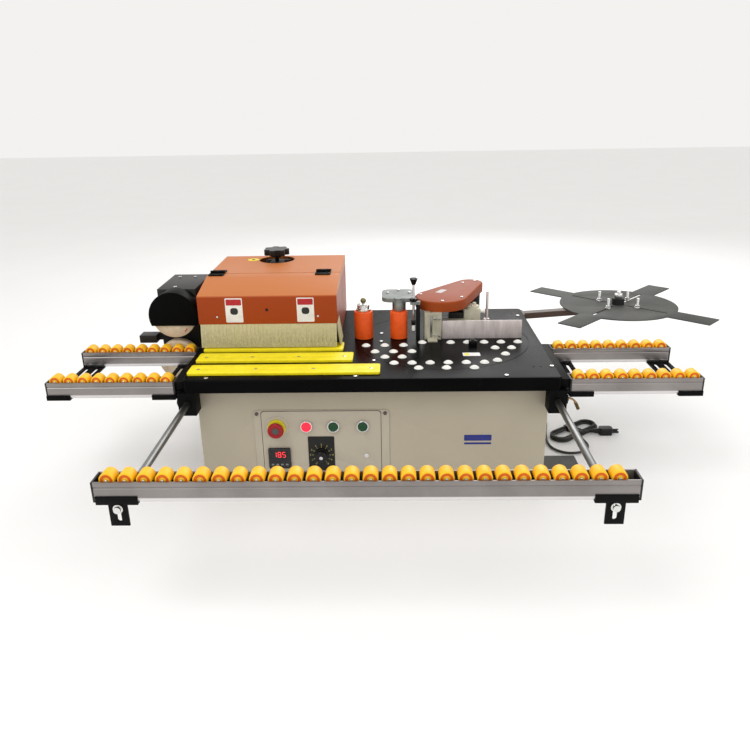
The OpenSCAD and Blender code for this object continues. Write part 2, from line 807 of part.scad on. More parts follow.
// Carriage on the lead screw with an arm and the upper trimming motor
module upper_trimmer() color("Silver") difference() {
    union() {
        translate([trim_x, column_y, 0]) {
            box([-22, -20, table_z + 80], [22, 24 - gap, table_z + 120]);
            box([-12, cutter_y - column_y, table_z + 90], [12, -19, table_z + 115]);
        }
        translate([trim_x, cutter_y, 0]) post(motor_d, table_z + 66, table_z + 138);
    }
    translate([trim_x, column_y, 0]) post(2 * screw_r + 2 * fit, table_z + 70, table_z + 130);
    translate([trim_x, cutter_y, 0]) post(10 + 2 * fit, table_z + 60, table_z + 82);
}

module upper_cutter() color("Silver") translate([trim_x, cutter_y, 0]) {
    post(10, table_z + 39, table_z + 81);
    post(cutter_d, table_z + 26, table_z + 40);
}

// Lower trimming motor hung under the table plate
module lower_trimmer() color("Silver") translate([lower_x, cutter_y, 0]) difference() {
    union() {
        post(motor_d, table_z - 120, table_z - 40);
        box([-32, 24, table_z - 120], [32, 38, slab_z]);
        box([-40, 24, slab_z - 5], [40, 60, slab_z]);
    }
    post(10 + 2 * fit, table_z - 56, slab_z);
}

module lower_cutter() color("Silver") translate([lower_x, cutter_y, 0]) {
    post(10, table_z - 55, table_z + 9);
    post(cutter_d, table_z + 8, table_z + 22);
}

// ---- buffing unit -------------------------------------------------------------

// Sheet housing behind the wheels with the shafts' bearings and the bracket to the table
module buff_housing() color("DimGray") difference() {
    union() {
        difference() {
            box([buff_x - housing_w / 2, housing_y, buff_lower_z - 60],
                [buff_x + housing_w / 2, housing_y + housing_d, buff_upper_z + 62]);
            box([buff_x - housing_w / 2 + 3, housing_y + 3, buff_lower_z - 60 - over],
                [buff_x + housing_w / 2 - 3, housing_y + housing_d - 3, buff_upper_z + 59]);
        }
        for (z = [buff_lower_z, buff_upper_z]) translate([buff_x, 0, z])
            rod_along_y(34, housing_y + 2, housing_y + 40);
        box([buff_x + housing_w / 2 - 1, 60, skirt_z + 4], [left_x, 180, skirt_z + 24]);
        box([buff_x - 108, edge_y + 4, table_z - 3], [buff_x - 61, housing_y + 10, table_z + 18]);
        box([buff_x - 62, housing_y, table_z - 3],
            [buff_x - housing_w / 2 + 1, housing_y + 10, table_z + 18]);
    }
    for (z = [buff_lower_z, buff_upper_z]) translate([buff_x, 0, z])
        rod_along_y(buff_shaft_d + 2 * fit, housing_y - over, housing_y + 41);
}

// Round guard over the upper wheel, cut flat below
module buff_guard() color("Black") difference() {
    translate([buff_x, 0, buff_upper_z]) difference() {
        rod_along_y(guard_d, guard_front, housing_y);
        rod_along_y(guard_d - 2 * guard_t, guard_front + guard_t, housing_y + over);
    }
    box([buff_x - guard_d, guard_front - over, buff_upper_z - guard_d],
        [buff_x + guard_d, housing_y + over, table_z + 53]);
}

module buff_wheel(d, z) translate([buff_x, 0, z]) {
    rod_along_y(d, buff_y, buff_y + buff_w);
    rod_along_y(30, buff_y + buff_w - 1, buff_y + buff_w + 6);
    rod_along_y(buff_shaft_d, buff_y + 1, housing_y + 38);
}

module upper_buff_wheel() color("AntiqueWhite") buff_wheel(buff_upper_d, buff_upper_z);
module lower_buff_wheel() color("AntiqueWhite") buff_wheel(buff_lower_d, buff_lower_z);

// ---- roller supports ------------------------------------------------------------

// Half width and height pairs of the rail's section, right side then left
module rail_section(y) {
    w = rail_w / 2;
    translate([y, rail_bottom]) difference() {
        polygon([
            [-w + 3, 0], [w - 3, 0], [w, 7], [w, 26], [w - 1.5, 27.5], [w - 1.5, 29.5],
            [w, 31], [w, rail_h], [-w, rail_h], [-w, 31], [-w + 1.5, 29.5],
            [-w + 1.5, 27.5], [-w, 26], [-w, 7]
        ]);
        translate([-w + 4, 22]) square([2 * w - 8, rail_h]);
        translate([-w + 6, 3]) square([2 * w - 12, 15]);
        translate([-6, -1]) square([12, 5]);
    }
}

// Rail with a closed cap at each end
module rail(x0, x1, y) {
    along_x(x0 + cap_t, x1 - cap_t) rail_section(y);
    for (x = [x0, x1 - cap_t])
        box([x, y - rail_w / 2, rail_bottom], [x + cap_t, y + rail_w / 2, rail_top]);
}

// Rollers of one rail, each on its own axle between the rail's walls
module rollers(x0, x1, y, count) {
    first = (x0 + x1) / 2 - (count - 1) * roller_pitch / 2;
    for (k = [0:count - 1]) translate([first + k * roller_pitch, 0, rail_top]) {
        rod_along_y(roller_d, y - 14, y + 14);
        rod_along_y(5, y - rail_w / 2 + 4, y + rail_w / 2 - 4);
    }
}

module front_rail() color("LightGray") rail(-front_len / 2, front_len / 2, front_rail_y);
module front_rollers() color("Gold")
    rollers(-front_len / 2 - front_row_left, front_len / 2 - front_row_left,
            front_rail_y, front_count);

// Clip under each end of the front rail with a slotted tab, bolt and washer
module rail_clips() color("Black") both_sides() {
    y0 = front_rail_y - rail_w / 2;
    y1 = front_rail_y + rail_w / 2;
    box([rod_x - 38, y0 - 2, rail_bottom - 4], [rod_x + 38, y0, rail_bottom + 12]);
    box([rod_x - 38, y1, rail_bottom - 4], [rod_x + 38, y1 + 2, rail_bottom + 12]);
    box([rod_x - 38, y0 - 2, rail_bottom - 4], [rod_x + 38, y1 + 2, rail_bottom]);
    difference() {
        box([rod_x - 17, tab_y, rod_z - 35], [rod_x + 17, tab_y + tab_t, rail_bottom - 3]);
        box([rod_x - 4.2, tab_y - over, rod_z - 22], [rod_x + 4.2, tab_y + tab_t + over, rod_z]);
        translate([rod_x, 0, rod_z]) rod_along_y(8.4, tab_y - over, tab_y + tab_t + over);
        translate([rod_x, 0, rod_z - 22]) rod_along_y(8.4, tab_y - over, tab_y + tab_t + over);
    }
    translate([rod_x, 0, rod_z]) {
        rod_along_y(18, tab_y - 1.5, tab_y);
        rod_along_y(13, tab_y - 7, tab_y - 1);
        rod_along_y(8, tab_y - 2, tab_y + tab_t);
    }
}

// Two plain rods that slide in the clamp blocks
module support_rods() color("Silver") both_sides()
    translate([rod_x, 0, rod_z]) rod_along_y(rod_d, tab_y + tab_t, rod_back_y);

// Clamp block at each front corner of the table and a plain guide behind it
module rod_clamps() color("Black") both_sides() difference() {
    union() {
        box([clamp_x - clamp_w, front_y, rod_z - 30], [clamp_x, front_y + clamp_d, skirt_z]);
        box([cab_w / 2 + 1, rod_back_y - 30, rod_z - 18], [clamp_x, rod_back_y - 10, skirt_z]);
    }
    translate([rod_x, 0, rod_z]) rod_along_y(rod_d + 2 * fit, front_y - over, rod_back_y);
    translate([0, front_y + 20, rod_z]) rod_along_x(clamp_bolt_d + 2 * fit, rod_x, clamp_x + over);
}

module rod_knob() translate([0, front_y + 20, rod_z]) {
    rod_along_x(26, clamp_x + 0.3, clamp_x + 6);
    rod_along_x(clamp_bolt_d, rod_x + rod_d / 2 + 0.3, clamp_x + 1);
}

module rod_knob_right() color("Black") rod_knob();
module rod_knob_left() color("Black") mirror([1, 0, 0]) rod_knob();

module at_wings() {
    for (y = [wing_front_y, wing_back_y]) translate([0, y, 0]) children();
}

module wing_rails() color("LightGray") both_sides() at_wings()
    rail(wing_x, wing_x + side_len, 0);
module wing_rollers() color("Gold") both_sides() at_wings()
    rollers(wing_x, wing_x + side_len, 0, side_count);

// Slotted plate across the two side rails, its front end bent up
module cross_plate(x) difference() {
    union() {
        box([x, wing_front_y - rail_w / 2 - 3, rail_bottom - plate_t],
            [x + plate_w, wing_back_y + rail_w / 2 - 1, rail_bottom]);
        box([x, wing_front_y - rail_w / 2 - 3, rail_bottom - plate_t],
            [x + plate_w, wing_front_y - rail_w / 2, rail_bottom + 8]);
    }
    for (u = [plate_w / 2 - 13, plate_w / 2 + 13]) {
        y0 = wing_front_y + 34;
        y1 = wing_back_y - 34;
        box([x + u - 4.5, y0, rail_bottom - plate_t - over], [x + u + 4.5, y1, rail_bottom + over]);
        for (y = [y0, y1]) translate([x + u, y, 0])
            post(9, rail_bottom - plate_t - over, rail_bottom + over);
    }
}

// Cross plates, the bars along the table's sides and the gussets that join them
module wing_brackets() color("Black") both_sides() {
    cross_plate(wing_x);
    cross_plate(wing_x + side_len - plate_w);
    box([right_x, front_y + 15, skirt_z + 2], [wing_x, edge_y - 18, table_z - 9]);
    box([wing_x - 5, front_y + 60, rail_bottom - plate_t], [wing_x, edge_y - 54, skirt_z + 3]);
}

// Blow-off nozzle by the right clamp: union nut, bent copper tube and brass tip
module air_nozzle() color("Peru") translate([clamp_x, front_y + 38, rod_z - nozzle_drop]) {
    tip_turn = 90 - nozzle_bend;
    rod_along_x(8, 0, 13);
    translate([12, 0, -nozzle_r]) rotate([90, 0, 0]) rotate(tip_turn) {
        rotate_extrude(angle = nozzle_bend) translate([nozzle_r, 0]) circle(d = 5);
        translate([nozzle_r, 1, 0]) rotate([90, 0, 0]) cylinder(d = 8, h = 20);
    }
}

// ---- tape tray --------------------------------------------------------------------

// Flat bar from the table's right side to the tray, with the tray's spindle and cap nut
module tray_arm() color("Black") {
    dx = tray_x - right_x - 3;
    dy = tray_y - arm_root_y;
    z0 = table_z - tray_t - 1 - arm_h;
    box([right_x, arm_root_y - 28, z0], [right_x + 5, arm_root_y + 28, z0 + arm_h]);
    translate([right_x + 3, arm_root_y, z0]) rotate(atan2(dy, dx)) {
        box([0, -14, 0], [norm([dx, dy]), 14, arm_h]);
        translate([norm([dx, dy]), 0, 0]) post(44, 0, arm_h);
    }
    translate([tray_x, tray_y, 0]) {
        post(tray_spindle_d, z0 + 1, table_z + 30);
        hex(26, table_z + 20.5, table_z + 34);
        post(12, table_z + 33, table_z + 42);
    }
}

// Disc with four slotted arms, hub and four loose pins that hold the coil of tape
module tape_tray() color("DimGray") translate([tray_x, tray_y, 0]) rotate(tray_turn) {
    difference() {
        union() {
            post(tray_d, table_z - tray_t, table_z);
            for (a = [0:90:270]) rotate(a)
                box([0, -tray_arm_w / 2, table_z - tray_t], [tray_reach, tray_arm_w / 2, table_z]);
            post(hub_d, table_z - 1, table_z + 20);
        }
        for (a = [0:90:270]) rotate(a) {
            box([34, -slot_w / 2, table_z - tray_t - over], [156, slot_w / 2, table_z + over]);
            for (u = [34, 156]) translate([u, 0, 0])
                post(slot_w, table_z - tray_t - over, table_z + over);
        }
        post(tray_spindle_d + 2 * fit, table_z - tray_t - over, table_z + 21);
    }
    for (a = [0:90:270]) rotate(a) translate([64, 0, 0]) {
        post(16, table_z - 0.5, table_z + 3);
        post(8, table_z - tray_t, table_z + 30);
    }
}

// ---- power lead -----------------------------------------------------------------------

// Gland in the cabinet's back with its tapered strain relief
module cable_gland() color("Black") translate([gland_x, cab_back, gland_z]) {
    rod_along_y(16, -8, 1);
    rotate([-90, 0, 0]) cylinder(d = 26, h = 8, $fn = 6);
    translate([0, 8, 0]) rotate([-90, 0, 0]) cylinder(d1 = 18, d2 = cord_d + 2, h = gland_len - 8);
}

// Point and direction at t along the route, through its points without corners
function spline(p, q, r, s, t) = 0.5 * (2 * q + (r - p) * t
    + (2 * p - 5 * q + 4 * r - s) * t * t + (3 * q - p - 3 * r + s) * t * t * t);
function at(k) = route[max(0, min(len(route) - 1, k))];
steps = 2;
line = [for (k = [0:len(route) - 2], j = [0:steps - 1])
            spline(at(k - 1), at(k), at(k + 1), at(k + 2), j / steps), route[len(route) - 1]];
function unit(v) = v / norm(v);
function heading(k) = unit(line[min(k + 1, len(line) - 1)] - line[max(k - 1, 0)]);

sides = 8;
function ring(k) = let (
    t = heading(k),
    u = unit(cross(t, abs(t[2]) < 0.9 ? [0, 0, 1] : [0, 1, 0])),
    v = cross(t, u)
) [for (j = [0:sides - 1]) line[k] + cord_d / 2 * (cos(360 * j / sides) * u + sin(360 * j / sides) * v)];

module power_cord() color("DimGray") {
    rings = len(line);
    points = [for (k = [0:rings - 1]) each ring(k)];
    walls = [for (k = [0:rings - 2], j = [0:sides - 1])
        [k * sides + j, k * sides + (j + 1) % sides,
         (k + 1) * sides + (j + 1) % sides, (k + 1) * sides + j]];
    start = [for (j = [0:sides - 1]) sides - 1 - j];
    end = [for (j = [0:sides - 1]) (rings - 1) * sides + j];
    polyhedron(points, concat([start], walls, [end]), convexity = 8);
}

// Bundle of the lead's spare length, folded in runs and laid on the floor
module cord_hank() color("DimGray") translate([hank_at[0], hank_at[1], 0]) rotate(hank_turn) {
    translate([-hank_run / 2, -hank_w / 2, 0]) cube([hank_run, hank_w, hank_h]);
    for (s = [-1, 1]) translate([s * hank_run / 2, 0, 0]) post(hank_w, 0, hank_h);
}

// Moulded plug with its strain relief and three flat pins
module power_plug() color("Black") translate([plug_at[0], plug_at[1], 0]) {
    translate([plug_size[0] / 2, 0, 0]) linear_extrude(plug_size[2])
        round_rect(plug_size[0], plug_size[1], 8);
    translate([-relief_len, 0, 10]) rotate([0, 90, 0]) cylinder(d1 = cord_d + 2, d2 = 16, h = relief_len + 1);
    for (y = [-6, 6]) box([plug_size[0] - 1, y - 0.8, 5], [plug_size[0] + 18, y + 0.8, 11]);
    box([plug_size[0] - 1, -3, 13.5], [plug_size[0] + 18, 3, 15]);
}

cabinet_shell();
base_plate();
control_panel();
button_bezels();
estop_button();
red_button();
green_button_left();
green_button_right();
display_unit();
dial_plate();
dial_knob();
control_box();
screws();
table_top();
slide_pads();
guide_strips();
fence();
fence_knob();
roller_spindles();
press_roller_left();
press_roller_right();
roller_bracket();
adjust_screw();
glue_unit();
glue_roller();
belt_cover();
feed_motor();
hood_body();
hood_flap();
hood_hinges();
front_curtain();
side_curtain();
height_knob();
trim_column();
upper_trimmer();
upper_cutter();
lower_trimmer();
lower_cutter();
buff_housing();
buff_guard();
upper_buff_wheel();
lower_buff_wheel();
front_rail();
front_rollers();
rail_clips();
support_rods();
rod_clamps();
rod_knob_left();
rod_knob_right();
wing_rails();
wing_rollers();
wing_brackets();
air_nozzle();
tray_arm();
tape_tray();
cable_gland();
power_cord();
cord_hank();
power_plug();
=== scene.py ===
"""Benchtop edge banding machine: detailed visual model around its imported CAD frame."""

import math
import random

import bpy
from mathutils import Matrix, Vector


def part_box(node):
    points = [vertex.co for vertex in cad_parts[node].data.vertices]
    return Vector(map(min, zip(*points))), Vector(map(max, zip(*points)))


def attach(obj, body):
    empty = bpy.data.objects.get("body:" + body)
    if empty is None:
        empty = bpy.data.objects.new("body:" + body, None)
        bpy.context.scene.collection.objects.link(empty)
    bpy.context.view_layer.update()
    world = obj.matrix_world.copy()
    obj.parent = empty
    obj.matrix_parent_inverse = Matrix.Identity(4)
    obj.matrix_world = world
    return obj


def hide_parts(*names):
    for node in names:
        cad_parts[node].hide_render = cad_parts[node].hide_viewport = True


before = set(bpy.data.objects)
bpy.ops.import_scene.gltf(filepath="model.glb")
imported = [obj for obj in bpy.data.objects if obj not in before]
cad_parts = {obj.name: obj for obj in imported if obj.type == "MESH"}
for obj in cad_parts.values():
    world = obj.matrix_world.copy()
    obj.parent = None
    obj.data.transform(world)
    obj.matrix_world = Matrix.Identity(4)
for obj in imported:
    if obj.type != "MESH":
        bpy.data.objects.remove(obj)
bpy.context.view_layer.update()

random.seed(7)
MM = 0.001

scene = bpy.context.scene
scene.view_settings.view_transform = "Standard"


def span(node):
    """Lowest and highest corner of a CAD node, in millimetres."""
    low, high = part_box(node)
    return low / MM, high / MM


table_low, table_high = span("table_top")
TABLE = table_high.z
LEFT, RIGHT = table_low.x, table_high.x
FRONT, BACK = table_low.y, table_high.y
HOOD_EDGE = TABLE + 145    # the hood's front face turns into its slope here
HOOD_TOP = TABLE + 170
COVER_EDGE = TABLE + 100.5    # the belt cover's top face is above this


# ---- modelling helpers, in millimetres -----------------------------------------------

def begin():
    if bpy.context.object and bpy.context.object.mode != "OBJECT":
        bpy.ops.object.mode_set(mode="OBJECT")
    bpy.ops.object.select_all(action="DESELECT")


def hold(*pieces):
    """Selects only these pieces, the first one active."""
    begin()
    for piece in pieces:
        piece.select_set(True)
    bpy.context.view_layer.objects.active = pieces[0]
    return pieces[0]


def settle(name):
    """Names a new primitive and puts its place, turn and size into its mesh."""
    piece = bpy.context.object
    piece.name = piece.data.name = name
    bpy.ops.object.transform_apply(location=True, rotation=True, scale=True)
    return piece


def block(name, low, high):
    begin()
    low, high = Vector(low), Vector(high)
    bpy.ops.mesh.primitive_cube_add(size=1, location=(low + high) / 2 * MM)
    bpy.context.object.scale = (high - low) * MM
    return settle(name)


TURNS = {"X": (0, math.pi / 2, 0), "Y": (math.pi / 2, 0, 0), "Z": (0, 0, 0)}


def drum(name, centre, radius, depth, axis="Z", sides=48, tip=None):
    """Cylinder, or a cone with the radius tip at its far end."""
    begin()
    place = Vector(centre) * MM
    if tip is None:
        bpy.ops.mesh.primitive_cylinder_add(vertices=sides, radius=radius * MM,
                                            depth=depth * MM, location=place, rotation=TURNS[axis])
    else:
        bpy.ops.mesh.primitive_cone_add(vertices=sides, radius1=radius * MM, radius2=tip * MM,
                                        depth=depth * MM, location=place, rotation=TURNS[axis])
    return settle(name)


def ball(name, centre, radius):
    begin()
    bpy.ops.mesh.primitive_uv_sphere_add(segments=32, ring_count=16, radius=radius * MM,
                                         location=Vector(centre) * MM)
    return settle(name)


def pick(piece, kind, chosen):
    """Opens a piece for editing with only the chosen faces or edges selected."""
    hold(piece)
    bpy.ops.object.mode_set(mode="EDIT")
    bpy.ops.mesh.select_mode(type=kind)
    bpy.ops.mesh.select_all(action="DESELECT")
    bpy.ops.object.mode_set(mode="OBJECT")
    mesh = piece.data
    if kind == "FACE":
        for face in mesh.polygons:
            face.select = bool(chosen(face.center / MM, face.normal))
    else:
        for edge in mesh.edges:
            a, b = (mesh.vertices[k].co / MM for k in edge.vertices)
            edge.select = bool(chosen(a, b))
    bpy.ops.object.mode_set(mode="EDIT")


def close():
    bpy.ops.object.mode_set(mode="OBJECT")


def bevel(piece, chosen, width, segments=2):
    pick(piece, "EDGE", chosen)
    bpy.ops.mesh.bevel(offset=width * MM, segments=segments, profile=0.5, affect="EDGES")
    close()
    return piece


def push(move):
    bpy.ops.mesh.extrude_region_move(TRANSFORM_OT_translate={"value": Vector(move) * MM})


def recess(piece, chosen, rim, depth):
    """Insets faces by rim and sinks them by depth; a negative depth raises them."""
    pick(piece, "FACE", chosen)
    bpy.ops.mesh.inset(thickness=rim * MM, depth=0)
    bpy.ops.mesh.inset(thickness=0.05 * MM, depth=-depth * MM)
    close()
    return piece


def modify(piece, kind, **settings):
    hold(piece)
    modifier = piece.modifiers.new(kind.title(), kind)
    for key, value in settings.items():
        setattr(modifier, key, value)
    bpy.ops.object.modifier_apply(modifier=modifier.name)
    return piece


def cut(piece, tool):
    modify(piece, "BOOLEAN", operation="DIFFERENCE", solver="EXACT", object=tool)
    bpy.data.objects.remove(tool)
    return piece


def soften(piece, width, segments=2, angle=35):
    return modify(piece, "BEVEL", width=width * MM, segments=segments, limit_method="ANGLE",
                  angle_limit=math.radians(angle))


def join(name, pieces):
    hold(*pieces)
    if len(pieces) > 1:
        bpy.ops.object.join()
    piece = bpy.context.object
    piece.name = piece.data.name = name
    return piece


def copies(piece, places, name):
    """One piece made of copies of a model at each place; the model itself goes."""
    made = []
    for place in places:
        mesh = piece.data.copy()
        mesh.transform(place if isinstance(place, Matrix) else Matrix.Translation(Vector(place) * MM))
        copy = bpy.data.objects.new(name, mesh)
        scene.collection.objects.link(copy)
        made.append(copy)
    bpy.data.objects.remove(piece)
    return join(name, made)


def rounded(node, name, width, segments=2, angle=35, flat=1.0):
    """A merged copy of a CAD node with its sharp edges rounded."""
    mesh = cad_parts[node].data.copy()
    mesh.materials.clear()
    piece = bpy.data.objects.new(name, mesh)
    mesh.name = name
    scene.collection.objects.link(piece)
    hold(piece)
    bpy.ops.mesh.customdata_custom_splitnormals_clear()
    bpy.ops.object.mode_set(mode="EDIT")
    bpy.ops.mesh.select_all(action="SELECT")
    bpy.ops.mesh.remove_doubles(threshold=0.00002)
    bpy.ops.mesh.dissolve_limited(angle_limit=math.radians(flat))
    close()
    if width:
        soften(piece, width, segments, angle)
    return piece


def place(piece, body, paint, slot, nodes=(), smooth=28):
    """Gives a finished piece its paint and its body, and hides the CAD nodes that it stands for."""
    hold(piece)
    piece.data.materials.clear()
    piece.data.materials.append(paint)
    if piece.type == "MESH":
        bpy.ops.object.shade_smooth_by_angle(angle=math.radians(smooth))
    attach(piece, body)
    if nodes:
        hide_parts(*nodes)
    return piece


# ---- shader maths --------------------------------------------------------------------

class Value:
    """A socket that takes part in sums, with numbers or with other sockets."""

    def __init__(self, paint, socket):
        self.paint, self.socket = paint, socket

    def sum(self, operation, other=None, swap=False):
        pair = (other, self) if swap else (self, other)
        values = {k: v for k, v in enumerate(pair) if v is not None}
        return self.paint.node("ShaderNodeMath", {"operation": operation}, values)

    def __add__(self, other):
        return self.sum("ADD", other)

    def __radd__(self, other):
        return self.sum("ADD", other, True)

    def __sub__(self, other):
        return self.sum("SUBTRACT", other)

    def __rsub__(self, other):
        return self.sum("SUBTRACT", other, True)

    def __mul__(self, other):
        return self.sum("MULTIPLY", other)

    def __pow__(self, other):
        return self.sum("POWER", other)

    def __gt__(self, other):
        return self.sum("GREATER_THAN", other)

    def __lt__(self, other):
        return self.sum("LESS_THAN", other)

    def __abs__(self):
        return self.sum("ABSOLUTE")


def srgb(r, g, b):
    """Linear colour from the 0 to 255 values of a screen colour."""
    def linear(c):
        c /= 255
        return c / 12.92 if c <= 0.04045 else ((c + 0.055) / 1.055) ** 2.4
    return (linear(r), linear(g), linear(b), 1.0)


class Paint:
    """A material that is built up around one Principled shader."""

    def __init__(self, name, **fixed):
        self.material = bpy.data.materials.new(name)
        self.material.use_nodes = True
        self.tree = self.material.node_tree
        self.tree.nodes.clear()
        self.shader = self.tree.nodes.new("ShaderNodeBsdfPrincipled")
        out = self.tree.nodes.new("ShaderNodeOutputMaterial")
        self.tree.links.new(self.shader.outputs[0], out.inputs[0])
        self.spot = self.node("ShaderNodeTexCoord", out="Object")
        split = self.node("ShaderNodeSeparateXYZ", inputs={0: self.spot})
        self.x, self.y, self.z = (Value(self, s) for s in split.socket.node.outputs)
        for key, value in fixed.items():
            self.shader.inputs[key.replace("_", " ")].default_value = value

    def node(self, kind, settings=None, inputs=None, out=0):
        made = self.tree.nodes.new(kind)
        for key, value in (settings or {}).items():
            if key == "stops":
                ramp = made.color_ramp.elements
                for k, (at, colour) in enumerate(value):
                    stop = ramp[k] if k < len(ramp) else ramp.new(at)
                    stop.position, stop.color = at, colour
            else:
                setattr(made, key, value)
        for key, value in (inputs or {}).items():
            self.feed(made.inputs[key], value)
        return Value(self, made.outputs[out])

    def feed(self, socket, value):
        if isinstance(value, Value):
            self.tree.links.new(value.socket, socket)
        else:
            socket.default_value = value

    def stretched(self, x, y, z):
        return self.node("ShaderNodeVectorMath", {"operation": "MULTIPLY"},
                         {0: self.spot, 1: (x, y, z)})

    def noise(self, scale, detail=3, rough=0.55, vector=None):
        return self.node("ShaderNodeTexNoise", {}, {
            "Vector": vector or self.spot, "Scale": scale, "Detail": detail, "Roughness": rough})

    def levels(self, value, low, high, to_low=0.0, to_high=1.0):
        return self.node("ShaderNodeMapRange", {"clamp": True}, {
            "Value": value, "From Min": low, "From Max": high, "To Min": to_low, "To Max": to_high})

    def mix(self, amount, first, second):
        return self.node("ShaderNodeMix", {"data_type": "RGBA"}, {0: amount, 6: first, 7: second}, 2)

    def ring(self, x, y):
        """Distance from an upright line through x, y."""
        dx, dy = self.x - x, self.y - y
        return (dx * dx + dy * dy) ** 0.5

    def give(self, colour=None, roughness=None, metallic=None, coat=None, glow=None,
             height=None, depth=0.0002, strength=0.5):
        names = {"Base Color": colour, "Roughness": roughness, "Metallic": metallic,
                 "Coat Weight": coat, "Emission Color": glow}
        for key, value in names.items():
            if value is not None:
                self.feed(self.shader.inputs[key], value)
        if height is not None:
            bump = self.node("ShaderNodeBump", {}, {
                "Strength": strength, "Distance": depth, "Height": height})
            self.feed(self.shader.inputs["Normal"], bump)
        return self.material


def enamel(name, colour, dark=0.86, grain=900, rough=0.38, swing=0.1, depth=0.00012, coat=0.0,
           dust=0.05, gloss=0.3, painted_glare=None, above=0.0):
    """Sprayed paint: fine orange peel, cloudiness and settled dust; above a height, if given, a paler
    colour is mixed in as a painted highlight for the glare on the upper faces.
    """
    p = Paint(name, Coat_Roughness=0.15, Coat_Weight=coat, Specular_IOR_Level=gloss)
    cloud = p.levels(p.noise(6, 4), 0.3, 0.7)
    peel = p.noise(grain, 2, 0.4)
    specks = p.levels(p.noise(420, 2, 0.7), 0.66, 0.74) * dust
    base = p.mix(cloud, tuple(c * dark for c in colour[:3]) + (1,), colour)
    # painted highlight: above the given height the colour turns paler for the glare on the upper faces
    if painted_glare:
        base = p.mix(p.levels(p.z, (above - 1) * MM, (above + 2) * MM), base, painted_glare)
    pale = tuple(min(1, c * 0.5 + 0.35) for c in colour[:3]) + (1,)
    return p.give(colour=p.mix(specks, base, pale), roughness=rough + (cloud - 0.5) * swing + peel * 0.05,
                  height=peel, depth=depth, strength=0.35)


def brushed(name, colour, along, rough, worn):
    """Metal with fine lines along one direction."""
    p = Paint(name, Metallic=1.0)
    lines = p.noise(5, 5, 0.65, p.stretched(*along))
    cloud = p.levels(p.noise(9, 4), 0.3, 0.75)
    tone = p.levels(lines, 0.3, 0.7, 0.82, 1.0) * (1 - cloud * worn)
    grey = p.node("ShaderNodeCombineColor", {}, {0: tone * colour[0], 1: tone * colour[1],
                                                 2: tone * colour[2]})
    return p.give(colour=grey, roughness=rough + lines * 0.12 + cloud * 0.08, height=lines,
                  depth=0.00005, strength=0.3)


def cast(name, colour, rough=0.55, metallic=0.7):
    """Sand cast metal: grainy skin and darker hollows."""
    p = Paint(name, Metallic=metallic)
    grit = p.noise(1400, 3, 0.7)
    cloud = p.levels(p.noise(28, 4), 0.3, 0.7)
    base = p.mix(cloud, tuple(c * 0.72 for c in colour[:3]) + (1,), colour)
    return p.give(colour=base, roughness=rough + grit * 0.12, height=grit + cloud * 0.6,
                  depth=0.0003, strength=0.55)


def moulded(name, colour, rough=0.4, grain=1600, depth=0.00006):
    """Moulded plastic with a fine texture and faint handling marks."""
    p = Paint(name, Specular_IOR_Level=0.35)
    fine = p.noise(grain, 2, 0.5)
    marks = p.levels(p.noise(34, 5, 0.7), 0.35, 0.75)
    base = p.mix(marks, colour, tuple(min(1, c * 0.8) for c in colour[:3]) + (1,))
    return p.give(colour=base, roughness=rough + marks * 0.12, height=fine, depth=depth, strength=0.4)


def fence_finish():
    """Rolled stainless sheet, hazy rather than mirror bright, with light vertical smears."""
    p = Paint("stainless", Metallic=0.55)
    lines = p.noise(5, 5, 0.65, p.stretched(4, 260, 260))
    smears = p.levels(p.noise(7, 4, 0.6, p.stretched(9, 1, 1.5)), 0.3, 0.7)
    return p.give(colour=p.mix(smears, srgb(196, 186, 184), srgb(236, 226, 224)),
                  roughness=0.36 + lines * 0.14, height=lines, depth=0.00005, strength=0.3)


def arm_casting():
    """Grey casting whose post beside the glue unit is painted black."""
    p = Paint("arm_casting", Metallic=0.45)
    post_left, under = 96.5, TABLE + 98
    post = (p.z < under * MM) * (p.x > post_left * MM)
    grit = p.noise(1400, 3, 0.7)
    cloud = p.levels(p.noise(28, 4), 0.3, 0.7)
    base = p.mix(cloud, srgb(112, 116, 114), srgb(148, 153, 150))
    return p.give(colour=p.mix(post, base, srgb(12, 12, 12)), roughness=0.5 + grit * 0.12,
                  height=grit + cloud * 0.6, depth=0.0003, strength=0.5)


# ---- paints --------------------------------------------------------------------------

cabinet_cream = enamel("cabinet_cream", srgb(172, 163, 144), dark=0.93, grain=700, rough=0.42)
panel_cream = enamel("panel_cream", srgb(176, 167, 150), dark=0.95, grain=1100, rough=0.4)
# the hood's slope and top and the belt cover's top face turn paler above their edge as a painted highlight
# of glare
hood_orange = enamel("hood_orange", srgb(154, 60, 8), dark=0.93, grain=520, rough=0.4, depth=0.0003,
                     coat=0.02, gloss=0.22, painted_glare=srgb(190, 112, 56), above=HOOD_EDGE - 1)
cover_orange = enamel("cover_orange", srgb(152, 68, 27), dark=0.9, grain=560, rough=0.45, depth=0.0003,
                      gloss=0.12, painted_glare=srgb(180, 98, 50), above=COVER_EDGE + 1.5)
semi_black = enamel("semi_black", srgb(9, 9, 9), dark=0.8, rough=0.5, dust=0.02, gloss=0.06)
guard_black = enamel("guard_black", srgb(6, 6, 6), dark=0.8, rough=0.42, dust=0.01, gloss=0.05)
sheet_grey = enamel("sheet_grey", srgb(76, 75, 72), dark=0.88, grain=800, rough=0.5, dust=0.06)
housing_grey = enamel("housing_grey", srgb(36, 36, 35), dark=0.85, grain=800, rough=0.38, dust=0.12)
motor_black = enamel("motor_black", srgb(16, 16, 17), dark=0.8, grain=500, rough=0.5, dust=0.05)
stainless = fence_finish()
bright_steel = brushed("bright_steel", (0.78, 0.78, 0.79), (60, 60, 400), 0.16, 0.15)
rod_chrome = brushed("rod_chrome", (0.32, 0.325, 0.32), (90, 3, 90), 0.22, 0.25)
